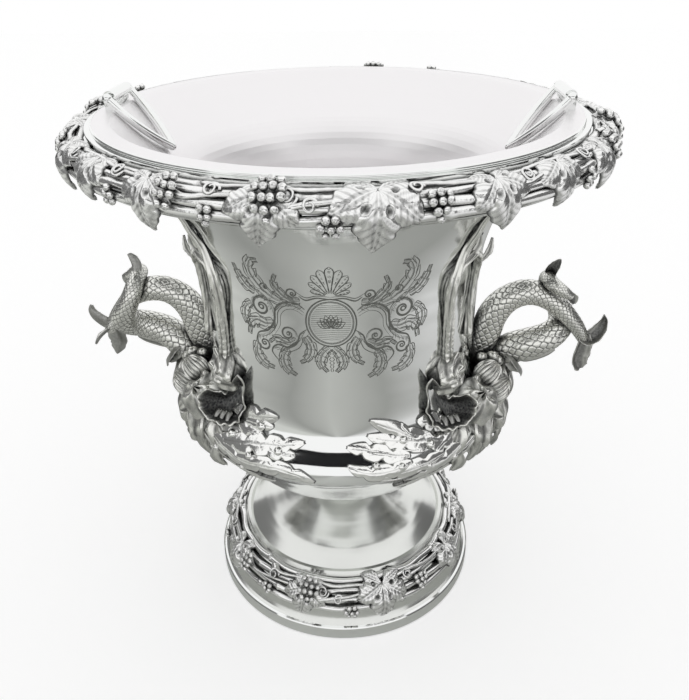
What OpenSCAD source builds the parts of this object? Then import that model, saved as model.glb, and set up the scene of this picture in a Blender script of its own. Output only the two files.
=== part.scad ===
// Silver wine cooler: a campana vase on a spreading foot, with a lift-out liner.
// The axis is Z, the foot stands on Z = 0, the handles are on the X axis and -Y is the front.

/* [Foot] */
// Radius of the foot rim on the table
foot_r = 83.3; // [70:0.1:95]
// Height of the upright foot rim
foot_rim_h = 8.3; // [5:0.1:12]
// Thickness of the foot rim
foot_rim_t = 2; // [1.5:0.1:4]
// Height of the foot up to the stem collar
foot_h = 64.5; // [58:0.5:80]
// Wall of the spun foot
foot_wall = 1.6; // [1.2:0.1:2.5]
// Outer radius of the foot's neck under the collar
neck_r = 20.5; // [16:0.5:26]

/* [Stem collar] */
// Height of the collar between foot and bowl
collar_h = 4.5; // [3:0.5:8]
// Radius of the collar
collar_r = 24; // [21:0.5:28]

/* [Body] */
// Wall of the body shell
body_wall = 1.5; // [1.2:0.1:3]
// Radius of the waist
waist_r = 74.6; // [73:0.1:82]
// Radius of the bowl's shoulder
shoulder_r = 88; // [84:0.5:96]
// Height of the shoulder above the collar
shoulder_h = 58.5; // [52:0.5:64]
// Height of the body above the collar, up to the rim mount
body_h = 216; // [200:1:240]

/* [Rim] */
// Outer radius over the rim canes
rim_r = 129.5; // [124:0.5:136]
// Radius of the rounded seat that the rim canes lie on
ovolo_r = 6.2; // [5.5:0.1:8]
// Height of the liner's ledge above the top of the body shell
ledge_h = 3.5; // [2.5:0.5:6]

/* [Vine borders] */
// Radius of one cane
cane_r = 1.75; // [1.4:0.05:2.2]
// Depth that a cane's middle lies above the foot's wall
cane_sink = 1; // [0.8:0.1:1.4]
// Number of canes in a bundle
cane_count = 5; // [4:1:6]
// Thickness of a cast leaf
leaf_t = 1.4; // [1:0.1:2]
// Length of the largest leaf, from its stalk to its tip
leaf_len = 20; // [16:0.5:23]
// Radius of one grape
grape_r = 1.75; // [1.4:0.05:2.2]
// Runs of the vine pattern round the rim
rim_runs = 4; // [3:1:4]
// Runs of the vine pattern round the foot
foot_runs = 2; // [1:1:2]

/* [Handles] */
// Height of the top of the handle's arch above the table
arch_z = 188; // [184:0.5:192]
// Distance of the outer end of the handle from the axis
handle_reach = 136; // [132:0.5:140]
// Radius of the upper dolphin's neck
upper_r = 7.6; // [6.5:0.1:8]
// Radius of the lower dolphin's neck
lower_r = 7.6; // [6.5:0.1:8]

/* [Liner] */
// Thickness of the liner's flange and wall
liner_wall = 1; // [0.8:0.1:1.6]
// Thickness of the liner's flange
flange_t = 1.5; // [1.2:0.1:2.5]
// Radius of the liner's flange
flange_r = 115; // [113:0.5:116]
// Inner radius of the liner's can
liner_r = 70; // [62:0.5:71]
// Depth of the liner below its flange
liner_depth = 176; // [150:1:176]

/* [Drop handles] */
// Diameter of the drop handle's wire
bail_wire = 4; // [3.5:0.1:4.5]
// Length of the drop handle from its pivot
bail_len = 35; // [28:0.5:38]
// Width of the drop handle between the middles of its arms
bail_w = 30; // [26:0.5:34]
// Angle below level at which the drop handle lies on the liner
bail_angle = 48; // [44:0.5:49]
// Diameter of the pivots
pin_d = 3; // [2.4:0.1:3.2]
// Running clearance round a pivot, on the radius
pin_clear = 0.07; // [0.03:0.01:0.1]

/* [Hidden] */

$fn = 72;
eps = 0.01;
seat = 0.15; // gap between a casting and the curved surface that it is soldered to
silver = [0.80, 0.81, 0.80];
old_silver = [0.62, 0.63, 0.61];

body_z = foot_h + collar_h;
shoulder_z = body_z + shoulder_h;
mount_z = body_z + body_h;
ledge_z = mount_z + ledge_h;
flange_z = ledge_z + flange_t;

// ---- Curves and outlines ----

function blend_at(a, b, c, d, t) =
    0.5 * (2 * b + (c - a) * t + (2 * a - 5 * b + 4 * c - d) * t * t
    + (3 * b - a - 3 * c + d) * t * t * t);

// A smooth curve through the points, with n steps between each two
function smooth(p, n) = let (last = len(p) - 1) concat(
    [for (i = [0 : last - 1], k = [0 : n - 1])
        blend_at(p[max(i - 1, 0)], p[i], p[i + 1], p[min(i + 2, last)], k / n)],
    [p[last]]);

// The same outline moved sideways by w, to its right as it runs
function moved(p, w) = [for (i = [0 : len(p) - 1])
    let (d = p[min(i + 1, len(p) - 1)] - p[max(i - 1, 0)])
    p[i] + w / norm(d) * [d.y, -d.x]];

function reversed(p) = [for (i = [len(p) - 1 : -1 : 0]) p[i]];

// ---- Placing things round the axis: azimuth 0 is the front, 90 is +X ----

module at_azimuth(a) { rotate([0, 0, a]) children(); }

// A drawing plane at azimuth a, radius r and height z, that faces outwards and up by e degrees
module on_slope(a, r, z, e) {
    at_azimuth(a) translate([0, -r, z]) rotate([90 - e, 0, 0]) children();
}

// The outline in the plane of radius and height, turned through a span of azimuths
module arc_of(from, to) {
    rotate([0, 0, from - 90]) rotate_extrude(angle = to - from) children();
}

// ---- Swept castings: a tube whose points carry their own radius ----

function unit(v) = v / norm(v);
function place(p) = [p.x, p.y, p.z];
function tangent(p, i) = unit(place(p[min(i + 1, len(p) - 1)]) - place(p[max(i - 1, 0)]));
function square_to(v, t) = unit(v - (v * t) * t);

// A side direction for each point, carried along without twisting
function sides_of(p, first) = [
    for (i = 0, s = square_to(first, tangent(p, 0)); i < len(p);
        i = i + 1, s = i < len(p) ? square_to(s, tangent(p, i)) : s) s];

// Points are [x, y, z, half width, half height]. The width lies along the side direction.
module swept(p, first, n = 14) {
    sides = sides_of(p, first);
    rings = len(p);
    wall = [for (i = [0 : rings - 1])
        let (t = tangent(p, i), s = sides[i], u = cross(t, s))
        for (k = [0 : n - 1])
            place(p[i]) + p[i][3] * cos(360 * k / n) * s + p[i][4] * sin(360 * k / n) * u];
    skin = [for (i = [0 : rings - 2], k = [0 : n - 1])
        let (a = i * n + k, b = i * n + (k + 1) % n)
        each [[a, b + n, b], [a, a + n, b + n]]];
    ends = [[for (k = [0 : n - 1]) k], [for (k = [n - 1 : -1 : 0]) (rings - 1) * n + k]];
    polyhedron(points = wall, faces = concat(skin, ends), convexity = 6);
}

// ---- Outlines of the spun pieces, as [radius, height] going up ----

body_curve = smooth([
    [29, body_z], [42, body_z + 5.2], [52, body_z + 12], [64, body_z + 23.5],
    [73, body_z + 35], [82, shoulder_z - 11.5], [shoulder_r - 0.8, shoulder_z - 4],
    [shoulder_r, shoulder_z], [shoulder_r - 2, shoulder_z + 5.5],
    [waist_r + 5.4, shoulder_z + 12.5], [waist_r + 2, shoulder_z + 19.5],
    [waist_r + 0.4, shoulder_z + 29.5], [waist_r, shoulder_z + 45.5],
    [waist_r, mount_z - 83], [waist_r + 1, mount_z - 65], [waist_r + 3, mount_z - 54],
    [waist_r + 6.9, mount_z - 42], [waist_r + 13, mount_z - 31],
    [waist_r + 22, mount_z - 19], [waist_r + 32, mount_z - 9], [waist_r + 43, mount_z]], 2);
body_by_height = [for (p = body_curve) [p.y, p.x]];

function body_r(z) = lookup(z, body_by_height);
// Radius of a point that stands d off the body's surface at height z
function off_body(z, d) = body_r(z) + d * norm([1, body_r(z + 0.5) - body_r(z - 0.5)]);

module body_solid() {
    rotate_extrude() polygon(concat([[0, body_z]], body_curve, [[0, mount_z]]));
}

// The seat of a vine border is an arc: centre radius, centre height, arc radius, first and last angle
rim_seat = [rim_r - cane_r - ovolo_r, ledge_z - 9.5, ovolo_r, 100, -20];
foot_seat = [foot_r - 24.2, foot_rim_h + 8, 17.8, 62, 7];

function seat_point(s, a, off = 0) = [s[0] + (s[2] + off) * cos(a), s[1] + (s[2] + off) * sin(a)];
function cane_angle(s, i) = s[3] + (s[4] - s[3]) * i / (cane_count - 1);

module cane_section(s) {
    for (i = [0 : cane_count - 1]) translate(seat_point(s, cane_angle(s, i))) circle(cane_r);
}

foot_curve = concat(
    [[foot_r - foot_rim_t, 1], [foot_r - foot_rim_t, foot_rim_h]],
    smooth([[foot_r - foot_rim_t - 1.5, foot_rim_h + 0.9], [foot_r - 5.2, foot_rim_h + 4],
        [foot_r - 6.4, foot_rim_h + 8]], 3),
    [for (a = [foot_seat[4] : 11 : foot_seat[3]]) seat_point(foot_seat, a, -cane_sink)],
    [[foot_r - 17.3, foot_rim_h + 25.5], [foot_r - 18.6, foot_rim_h + 28],
        [foot_r - 20.6, foot_rim_h + 28]],
    smooth([[foot_r - 21.2, foot_rim_h + 27], [52, foot_h - 22], [40, foot_h - 15.5],
        [30, foot_h - 9], [23.5, foot_h - 4], [neck_r, foot_h]], 3));

module foot_rim() {
    color(silver) rotate_extrude() difference() {
        translate([foot_r - foot_rim_t, 0]) square([foot_rim_t, foot_rim_h]);
        translate([foot_r, foot_rim_h]) circle(0.6);
    }
}

module foot_shell() {
    color(silver) rotate_extrude() difference() {
        polygon(concat(foot_curve, reversed(moved(foot_curve, -foot_wall))));
        cane_section(foot_seat);
    }
}

module foot_canes() { color(old_silver) rotate_extrude() cane_section(foot_seat); }

module stem_collar() {
    color(silver) translate([0, 0, foot_h]) rotate_extrude() difference() {
        union() {
            square([collar_r - collar_h / 2, collar_h]);
            translate([collar_r - collar_h / 2, collar_h / 2]) circle(collar_h / 2);
        }
        square([neck_r - foot_wall - 4, collar_h]);
    }
}

module body_shell() {
    inside = [for (p = moved(body_curve, -body_wall)) if (p.y > body_z + body_wall) p];
    color(silver) rotate_extrude() difference() {
        polygon(concat([[0, body_z]], body_curve, reversed(inside),
            [[inside[0].x, body_z + body_wall], [0, body_z + body_wall]]));
        translate([0, mount_z]) square([2 * rim_r, 10]);
    }
}

// ---- The vine border, the same on rim and foot ----

// Leaves of one run: place along the run, size, lean in degrees, drop of the stalk down the border
run_leaves = [[0, 1, -7, 2], [0.21, 0.86, 8, 1], [0.39, 0.8, 0, 1], [0.59, 0.9, 3, 1],
    [0.81, 0.95, -4, 3]];
// Bunches of one run: place along the run, drop down the border, berries in each row,
// and whether it lies on a leaf or on the canes
run_bunches = [[-0.085, 9, [2, 3, 2, 1], false], [0.115, 8, [2, 3, 3, 1], false],
    [0.67, 7, [3, 3, 2], false], [0.8, 3.5, [3, 4, 3, 2], true]];
// Tendrils of one run: place along the run, drop down the border, curl radius, turn
run_curls = [[-0.09, 2, 2.4, 30], [0.085, 2, 2.4, 200], [0.3, 6, 2.6, 60], [0.49, 5, 2.8, 250],
    [0.72, 4, 2.6, 120]];

// The five lobes of a vine leaf: direction from the tip, length, and half width
lobes = [[-115, 0.42, 22], [-55, 0.74, 19], [0, 1, 15], [55, 0.74, 19], [115, 0.42, 22]];

function lobe_points(l) = [for (p = [[-1, 0.7], [-0.72, 0.84], [-0.42, 0.83], [0, 1],
    [0.42, 0.83], [0.72, 0.84], [1, 0.7]])
    let (a = l[0] + p.x * l[2]) l[1] * p.y * [sin(a), -cos(a)]];

// A vine leaf whose stalk is at the origin and whose tip points down
module vine_leaf(size) {
    notch = [0.36, 0.42, 0.42, 0.36];
    polygon(size * [for (i = [0 : 4]) each concat(lobe_points(lobes[i]),
        i < 4 ? [let (a = (lobes[i][0] + lobes[i + 1][0]) / 2) notch[i] * [sin(a), -cos(a)]]
              : [[0, 0.1]])]);
}

// A sheet that follows the canes and then hangs straight down
module leaf_sheet(s, hang) {
    inner = s[2] + cane_r + seat;
    translate([s[0], s[1]]) {
        intersection() {
            difference() {
                circle(inner + leaf_t);
                circle(inner);
            }
            polygon(60 * [[0, 0], [1, 0], [1, 1], [0, 1], [cos(s[3] + 8), sin(s[3] + 8)]]);
        }
        translate([inner, -hang]) square([leaf_t, hang + eps]);
    }
}

function run_azimuth(first, runs, run, place) = first + 360 / runs * (run + place);

module border_leaves(s, first, runs, size, hang, face) {
    for (run = [0 : runs - 1], l = run_leaves) {
        a = run_azimuth(first, runs, run, l[0]);
        span = 2 * asin(min(0.9, size / s[0]));
        stalk = seat_point(s, s[3] - l[3] / s[2] * 57);
        intersection() {
            arc_of(a - span, a + span) leaf_sheet(s, hang);
            on_slope(a, stalk.x, stalk.y, face)
                rotate([0, 0, l[2]]) translate([0, 0, -size]) linear_extrude(3 * size)
                vine_leaf(size * l[1]);
        }
    }
}

// Berries grow unevenly: each has its own share of the full radius
function berry_size(row, k) = 1 + 0.05 * sin(97 * (k + 3 * row) + 20);

module border_grapes(s, first, runs) {
    on_canes = s[2] + cane_r + seat + 1.05 * grape_r;
    pitch = 1.84 * grape_r;
    for (run = [0 : runs - 1], b = run_bunches) {
        a = run_azimuth(first, runs, run, b[0]);
        out = b[3] ? on_canes + leaf_t + seat : on_canes;
        row_step = 57.3 * 0.9 * pitch / out;
        for (row = [0 : len(b[2]) - 1], k = [0 : b[2][row] - 1]) {
            c = seat_point(s, s[3] - b[1] / s[2] * 57 - row * row_step, out - s[2]);
            at_azimuth(a + 57.3 * (k - (b[2][row] - 1) / 2) * pitch / c.x)
                translate([0, -c.x, c.y]) rotate([90, 0, 0]) sphere(grape_r * berry_size(row, k));
        }
    }
}

module border_tendrils(s, first, runs) {
    wire = 0.45 * cane_r;
    for (run = [0 : runs - 1], t = run_curls) {
        e = s[3] - t[1] / s[2] * 57;
        c = seat_point(s, e, cane_r + seat + wire);
        on_slope(run_azimuth(first, runs, run, t[0]), c.x, c.y, e)
            rotate([0, 0, t[3]]) rotate_extrude(angle = 290) translate([t[2], 0]) circle(wire);
    }
}

rim_first = 6;
foot_first = 17;

module foot_leaves() {
    color(old_silver) border_leaves(foot_seat, foot_first, foot_runs, 0.9 * leaf_len, 3, 35);
}
module foot_grapes() { color(old_silver) border_grapes(foot_seat, foot_first, foot_runs); }
module foot_tendrils() { color(old_silver) border_tendrils(foot_seat, foot_first, foot_runs); }

module rim_mount() {
    ledge_in = flange_r - 2;
    brim = rim_seat[0] - 3.25;
    color(silver) rotate_extrude() difference() {
        union() {
            translate([ledge_in, mount_z]) square([brim - ledge_in, ledge_h]);
            translate([rim_seat[0], rim_seat[1]]) circle(ovolo_r);
            translate([flange_r + 1.2, rim_seat[1] + 1])
                square([brim + 1.9 - flange_r - 1.2, mount_z - rim_seat[1]]);
        }
        polygon(concat([[0, 0]], body_curve, [[0, mount_z]]));
        cane_section(rim_seat);
    }
}

module rim_canes() { color(old_silver) rotate_extrude() cane_section(rim_seat); }
module rim_leaves() {
    color(old_silver) border_leaves(rim_seat, rim_first, rim_runs, leaf_len, 14, 30);
}
module rim_grapes() { color(old_silver) border_grapes(rim_seat, rim_first, rim_runs); }
module rim_tendrils() { color(old_silver) border_tendrils(rim_seat, rim_first, rim_runs); }

// ---- Castings on the shoulder. Each is drawn for the right front and then turned or mirrored ----

module to_corner(right, front) { mirror([right ? 0 : 1, 0, 0]) mirror([0, front ? 0 : 1, 0]) children(); }

// A lobed leaf of a spray, with its stalk at the origin and its tip along +X
module spray_leaf(size) {
    half = [[0, 0.05], [0.14, 0.16], [0.22, 0.36], [0.36, 0.26], [0.48, 0.4], [0.6, 0.24],
        [0.74, 0.28], [0.82, 0.14]];
    polygon(size * concat(half, [[1, 0]], reversed([for (p = half) [p.x, -p.y]])));
}

// A stem of a spray, as a strip of width w along a smooth curve
module stem(points, w) {
    line = smooth(points, 3);
    polygon(concat(moved(line, w / 2), reversed(moved(line, -w / 2))));
}

module spray_outline() {
    stem([[31, 2], [22, 3], [12, 1], [2, 2], [-9, -1], [-18, -3]], 2.6);
    stem([[27, -4], [16, -8], [5, -8], [-6, -11], [-18, -10]], 2.4);
    translate([14, 3]) rotate(152) spray_leaf(23);
    translate([0, 2]) rotate(163) spray_leaf(25);
    translate([-8, -1]) rotate(182) spray_leaf(24);
    translate([6, -8]) rotate(186) spray_leaf(27);
    translate([20, -5]) rotate(200) spray_leaf(20);
    for (p = [[19.5, -1], [6.5, -3.5], [-5, 5.5], [-13, -6.5]]) translate(p) circle(2.6);
}

spray_azimuth = 30;
spray_face = 35;
spray_t = 1.6;

module spray() {
    band = moved([for (p = body_curve) if (p.y > shoulder_z - 30 && p.y < shoulder_z + 34) p], seat);
    color(old_silver) intersection() {
        arc_of(spray_azimuth - 50, spray_azimuth + 26)
            polygon(concat(moved(band, spray_t), reversed(band)));
        on_slope(spray_azimuth, shoulder_r - 6.5, shoulder_z + 10.5, spray_face)
            translate([0, 0, -30]) linear_extrude(60) spray_outline();
    }
}

// The boss of leafage under a handle, between its two cups
boss_half = 27;
boss_lobes = 6;
boss_top = shoulder_z + 7;

module boss() {
    top = boss_top;
    foot_z = shoulder_z - 22;
    color(old_silver) difference() {
        arc_of(90 - boss_half, 90 + boss_half) difference() {
            polygon(smooth([[body_r(top) - 3, top + 1], [shoulder_r + 5, top], [shoulder_r + 8, top - 5],
                [shoulder_r + 7, shoulder_z - 4], [shoulder_r + 2, shoulder_z - 13],
                [body_r(foot_z), foot_z], [body_r(foot_z) - 8, foot_z + 4]], 3));
            polygon(concat([[0, 0]], moved(body_curve, seat), [[0, mount_z]]));
        }
        // Flutes between the lobes of the leafage, each ending in a notch at the lower edge
        for (k = [-boss_lobes / 2 + 1 : boss_lobes / 2 - 1]) {
            a = 90 + k * 2 * boss_half / boss_lobes;
            on_slope(a, shoulder_r + 8, shoulder_z - 6, 0) rotate([90, 0, 0])
                cylinder(r = 2.2, h = 60, center = true);
            on_slope(a, shoulder_r, foot_z, 0) cylinder(r = 4.2, h = 60, center = true);
        }
    }
}

// The ruffled cup below a trunk, which stands on the stems of the spray
cup_azimuth = 50;
cup_h = 22;
cup_lip = 14;
cup_wall = 1.5;

module cup() {
    outside = smooth([[4, 0], [7, 2], [9, 7], [9.5, 13], [11.5, 18], [cup_lip, cup_h - 1]], 3);
    color(old_silver) difference() {
        on_slope(cup_azimuth, shoulder_r - 4, shoulder_z + 1, 68) difference() {
            rotate_extrude() polygon(concat([[0, 0]], outside, reversed(moved(outside, -cup_wall)),
                [[0, cup_wall]]));
            for (k = [0 : 6]) rotate([0, 0, 51.4 * k]) translate([cup_lip + 1, 0, cup_h])
                sphere(3.4);
        }
        rotate_extrude() polygon(concat([[0, 0]], moved(body_curve, 2 * seat + spray_t), [[0, mount_z]]));
    }
}

// A trunk's points: azimuth, height, radius
trunk_points = [[45.5, 164, 5], [45, 170, 7], [44.5, 178, 7.2], [44.5, 185, 5.2], [44.5, 193, 3.9],
    [43.5, 206, 3.4], [42.2, 222, 3.2], [41, 233, 3.1], [39.5, 242, 2.8], [36.5, 251, 2.4],
    [33.5, 259, 2]];
branch_points = [[42.5, 225, 2.2], [44.5, 232, 2.2], [46.5, 239, 2], [47.4, 247, 1.8], [46.5, 255, 1.5]];

function on_body(points) = [for (p = points)
    let (r = off_body(p.y, p.z + seat)) [r * sin(p.x), -r * cos(p.x), p.y, p.z, p.z]];

module trunk() {
    color(old_silver) {
        swept(smooth(on_body(trunk_points), 3), [1, 0, 0], 12);
        swept(smooth(on_body(branch_points), 3), [1, 0, 0], 10);
    }
}

// ---- The dolphins. The left handle is the right one turned half round ----

// A point of a neck that lies against the body, w thick, at height z
function neck_point(y, z, w) = [off_body(z, w + 2 * seat), y, z, w, w];

upper_path = [
    neck_point(1, boss_top + 8, 4.6), neck_point(1, boss_top + 13, 5.6),
    neck_point(1, boss_top + 20, 0.95 * upper_r), neck_point(0.5, boss_top + 28, upper_r),
    [87, 0, arch_z - 15, 0.95 * upper_r, 0.95 * upper_r],
    [94, 0, arch_z - 5.5, 6.8, 6.8], [103, 0, arch_z + 0.5, 6, 6], [112, -0.5, arch_z, 5.2, 5.2],
    [119.5, -2, arch_z - 3.5, 4.8, 4.8], [126, -4, arch_z - 10, 4.4, 4.4],
    [handle_reach - 5, -5, arch_z - 19, 4, 4], [handle_reach, -4.5, arch_z - 28, 3.4, 3.4],
    [handle_reach + 1.5, -4.5, arch_z - 33, 2.4, 2.4]];
upper_fluke = [
    [handle_reach + 11, -4, arch_z - 15, 1.2, 2], [handle_reach + 10.5, -4, arch_z - 20, 2, 3.6],
    [handle_reach + 6.5, -4, arch_z - 26, 2.2, 4.2], [handle_reach + 1.5, -4, arch_z - 31, 2.6, 4.2],
    [handle_reach - 0.5, -4, arch_z - 37, 2.2, 4.2], [handle_reach, -4, arch_z - 43, 1.9, 3.8],
    [handle_reach + 1, -4, arch_z - 48, 1.2, 2]];
lower_path = [
    [shoulder_r + 1.5, -6.8, boss_top + 1.1, 5, 5], [shoulder_r + 3, -6.8, boss_top + 6, 6.3, 6.3],
    [shoulder_r + 7, -6.8, boss_top + 12.5, 7.2, 7.2], [98, -6, arch_z - 36, lower_r, lower_r],
    [107, -6, arch_z - 32.5, lower_r, lower_r],
    [117, -4, arch_z - 30, 7, 7], [125.5, 0, arch_z - 27, 6, 6], [128.5, 5.5, arch_z - 21.5, 5.2, 5.2],
    [125, 9, arch_z - 13.5, 4.8, 4.8], [120, 9.8, arch_z - 4.5, 4.5, 4.5],
    [117, 8.5, arch_z + 3.5, 4.3, 4.3], [115.5, 4, arch_z + 10, 4.1, 4.1],
    [116, -2, arch_z + 11, 4, 4], [118.5, -7.5, arch_z + 8, 3.6, 3.6],
    [122.5, -10.2, arch_z + 2.5, 3.2, 3.2], [127, -10.5, arch_z - 1.5, 2.4, 2.4]];
lower_fluke = [[116.5, 1, arch_z + 9, 1.4, 3], [117.5, 0.5, arch_z + 14, 1.3, 3.2],
    [120, 0, arch_z + 19.5, 0.8, 1.4]];

lower_fin = [[106, -7, arch_z - 37, 1.2, 3], [111, -8, arch_z - 40, 1.2, 3.4],
    [116.5, -8.5, arch_z - 41, 1, 2.6], [121, -8, arch_z - 39.5, 0.8, 1.4]];

module handle_side(right) { rotate([0, 0, right ? 0 : 180]) children(); }

module upper_dolphin() {
    color(old_silver) {
        swept(smooth(upper_path, 3), [0, 1, 0]);
        swept(smooth(upper_fluke, 3), [0, 1, 0], 10);
    }
}

module lower_dolphin() {
    color(old_silver) {
        swept(smooth(lower_path, 3), [0, 1, 0]);
        swept(smooth(lower_fluke, 2), [0, 1, 0], 10);
        swept(smooth(lower_fin, 2), [0, 1, 0], 8);
    }
}

// ---- Liner and drop handles ----

flare_in = flange_r - 8;
liner_curve = concat(
    [[flange_r, flange_z], [flare_in, flange_z]],
    smooth([[flare_in - 0.8, flange_z - 0.5], [flare_in - 12, flange_z - 12.8],
        [flare_in - 19, flange_z - 20.3], [liner_r + 13, flange_z - 26], [liner_r + 7.5, flange_z - 35],
        [liner_r + 4, flange_z - 46], [liner_r + 1.6, flange_z - 62], [liner_r + 0.4, flange_z - 80],
        [liner_r, flange_z - 100]], 3),
    [for (a = [0 : 15 : 90]) [liner_r - 12 + 12 * cos(a), flange_z - liner_depth + 12 - 12 * sin(a)]],
    [[0, flange_z - liner_depth]]);

module liner() {
    outside = reversed(moved(liner_curve, -liner_wall));
    under_flange = lookup(ledge_z, [for (p = outside) [p.y, p.x]]);
    color(silver) rotate_extrude() polygon(concat(liner_curve,
        [for (p = outside) if (p.y < ledge_z - 0.1) p], [[under_flange, ledge_z], [flange_r, ledge_z]]));
}

wire_r = flange_t / 2 + 0.1;

module liner_rim_wire() {
    color(silver) translate([0, 0, flange_z - flange_t / 2]) rotate_extrude() difference() {
        translate([flange_r, 0]) circle(wire_r);
        translate([0, -flange_t]) square([flange_r, 2 * flange_t]);
        translate([0, -flange_t - flange_t / 2]) square([2 * flange_r, flange_t]);
    }
}

pivot_r = flare_in + 1;
pivot_z = flange_z + 4 + bail_wire / 2;
tube_r = pin_d / 2 + pin_clear + 1.3;
tube_len = bail_w - 1.15 * bail_wire - 0.6;

module hinge() {
    color(silver) difference() {
        union() {
            translate([pivot_r, 0, pivot_z]) rotate([90, 0, 0])
                cylinder(r = tube_r, h = tube_len, center = true);
            translate([flare_in + 0.2, -tube_len / 2, flange_z])
                cube([3.6, tube_len, pivot_z - flange_z]);
        }
        translate([pivot_r, 0, pivot_z]) rotate([90, 0, 0])
            cylinder(r = pin_d / 2 + pin_clear, h = tube_len + 1, center = true);
    }
}

// The drop handle, drawn flat with its pivot line on Y and its point along +X
module bail_flat() {
    half = bail_w / 2;
    bend = (bail_len * bail_len + half * half) / (2 * half);
    sweep_angle = asin(bail_len / bend);
    pin_len = 7;
    for (side = [-1, 1]) {
        mirror([0, side < 0 ? 1 : 0, 0]) {
            translate([0, half - bend, 0]) rotate([0, 0, 90 - sweep_angle])
                rotate_extrude(angle = sweep_angle) translate([bend, 0]) circle(d = bail_wire);
            translate([0, half, 0]) sphere(d = 1.15 * bail_wire);
            translate([0, half - pin_len, 0]) rotate([-90, 0, 0]) cylinder(d = pin_d, h = pin_len);
        }
    }
    translate([bail_len, 0, 0]) sphere(d = 1.06 * bail_wire);
}

module bail() {
    color(silver) translate([pivot_r, 0, pivot_z]) rotate([0, 180 - bail_angle, 0]) bail_flat();
}

module mirrored_to(right) { mirror([right ? 0 : 1, 0, 0]) children(); }

foot_rim();
foot_shell();
foot_canes();
foot_leaves();
foot_grapes();
foot_tendrils();
stem_collar();
body_shell();
to_corner(true, true) spray();  // spray_right_front
to_corner(true, false) spray();  // spray_right_back
to_corner(false, true) spray();  // spray_left_front
to_corner(false, false) spray();  // spray_left_back
rim_mount();
rim_canes();
rim_leaves();
rim_grapes();
rim_tendrils();
boss();  // boss_right
mirrored_to(false) boss();  // boss_left
to_corner(true, true) cup();  // cup_right_front
to_corner(true, false) cup();  // cup_right_back
to_corner(false, true) cup();  // cup_left_front
to_corner(false, false) cup();  // cup_left_back
to_corner(true, true) trunk();  // trunk_right_front
to_corner(true, false) trunk();  // trunk_right_back
to_corner(false, true) trunk();  // trunk_left_front
to_corner(false, false) trunk();  // trunk_left_back
handle_side(true) upper_dolphin();  // dolphin_right_upper
handle_side(true) lower_dolphin();  // dolphin_right_lower
handle_side(false) upper_dolphin();  // dolphin_left_upper
handle_side(false) lower_dolphin();  // dolphin_left_lower
liner();
liner_rim_wire();
hinge();  // hinge_right
mirrored_to(false) hinge();  // hinge_left
bail();  // bail_right
mirrored_to(false) bail();  // bail_left
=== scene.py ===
# %% [markdown]
# # A silver wine cooler with dolphin handles
# The vase is raised and spun from sheet silver, and everything that grows on it was cast and chased:
# the vine borders, the sprays, the trunks and the dolphins. The liner, its hinges and its drop handles
# come from the construction model as they are. This notebook spins the shells again as smooth surfaces,
# gives all of them their polish, models the castings as real meshes, and lights the cooler in a white
# tent with a few grey cards, as one would to show polished silver.

# %% Load the construction model
import random
from math import cos, pi, radians, sin, tau

import bpy
import numpy as np
from mathutils import Euler, Matrix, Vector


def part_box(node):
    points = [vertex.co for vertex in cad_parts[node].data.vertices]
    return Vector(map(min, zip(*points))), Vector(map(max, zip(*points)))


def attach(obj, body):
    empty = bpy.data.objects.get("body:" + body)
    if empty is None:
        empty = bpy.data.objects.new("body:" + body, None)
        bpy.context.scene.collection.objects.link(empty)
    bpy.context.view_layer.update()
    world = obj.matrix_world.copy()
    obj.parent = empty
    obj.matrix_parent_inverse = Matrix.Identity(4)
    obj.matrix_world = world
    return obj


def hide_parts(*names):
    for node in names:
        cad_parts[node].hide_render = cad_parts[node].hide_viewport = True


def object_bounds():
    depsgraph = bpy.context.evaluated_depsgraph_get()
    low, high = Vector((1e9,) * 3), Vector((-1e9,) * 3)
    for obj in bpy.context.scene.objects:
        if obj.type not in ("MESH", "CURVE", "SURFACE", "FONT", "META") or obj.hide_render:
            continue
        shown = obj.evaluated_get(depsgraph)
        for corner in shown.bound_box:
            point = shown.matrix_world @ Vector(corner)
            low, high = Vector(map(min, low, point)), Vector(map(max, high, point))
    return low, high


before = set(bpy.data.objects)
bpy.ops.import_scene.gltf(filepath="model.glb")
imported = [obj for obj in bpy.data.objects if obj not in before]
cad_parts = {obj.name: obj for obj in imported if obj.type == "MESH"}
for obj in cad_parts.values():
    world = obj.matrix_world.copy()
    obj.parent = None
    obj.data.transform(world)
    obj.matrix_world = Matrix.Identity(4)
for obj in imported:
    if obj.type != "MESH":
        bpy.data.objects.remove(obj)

cad_box = [list(corner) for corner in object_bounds()]
scene = bpy.context.scene
MM = 0.001
print("nodes:", len(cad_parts), "box in mm:", [[round(v / MM, 1) for v in c] for c in cad_box])

# %% [markdown]
# ## The camera
# A vessel that is meant to be filled is shown from above, so that the eye looks over the rim and into the
# liner. The camera stands close, about half a metre away, which opens the rim's ellipse and makes
# the foot look small. In Blender a camera looks down its own -Z, so tipping it up by 90 degrees less the
# downward angle aims it. The slight roll is a turn about the line of sight. The cooler stands a few
# degrees from square-on, right handle forward, which the camera does by walking round it.

# %% Camera
look_down, swing, tilt, walk_round = 30.9, -0.17, -0.84, 3.6  # degrees
camera_place = (0.0004, -0.3496, 0.3602)
camera_data = bpy.data.cameras.new("camera")
camera_data.lens = 35.54
camera_data.sensor_width = 36
camera_data.clip_start = 0.01
camera = bpy.data.objects.new("camera", camera_data)
scene.collection.objects.link(camera)
aim = Euler((radians(90 - look_down), 0, radians(swing))).to_matrix().to_4x4()
roll = Matrix.Rotation(radians(tilt), 4, "Z")
round_the_cooler = Matrix.Rotation(radians(walk_round), 4, "Z")
camera.matrix_world = round_the_cooler @ Matrix.Translation(camera_place) @ aim @ roll
scene.camera = camera
print("camera at", [round(v, 3) for v in camera.matrix_world.translation])

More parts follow.
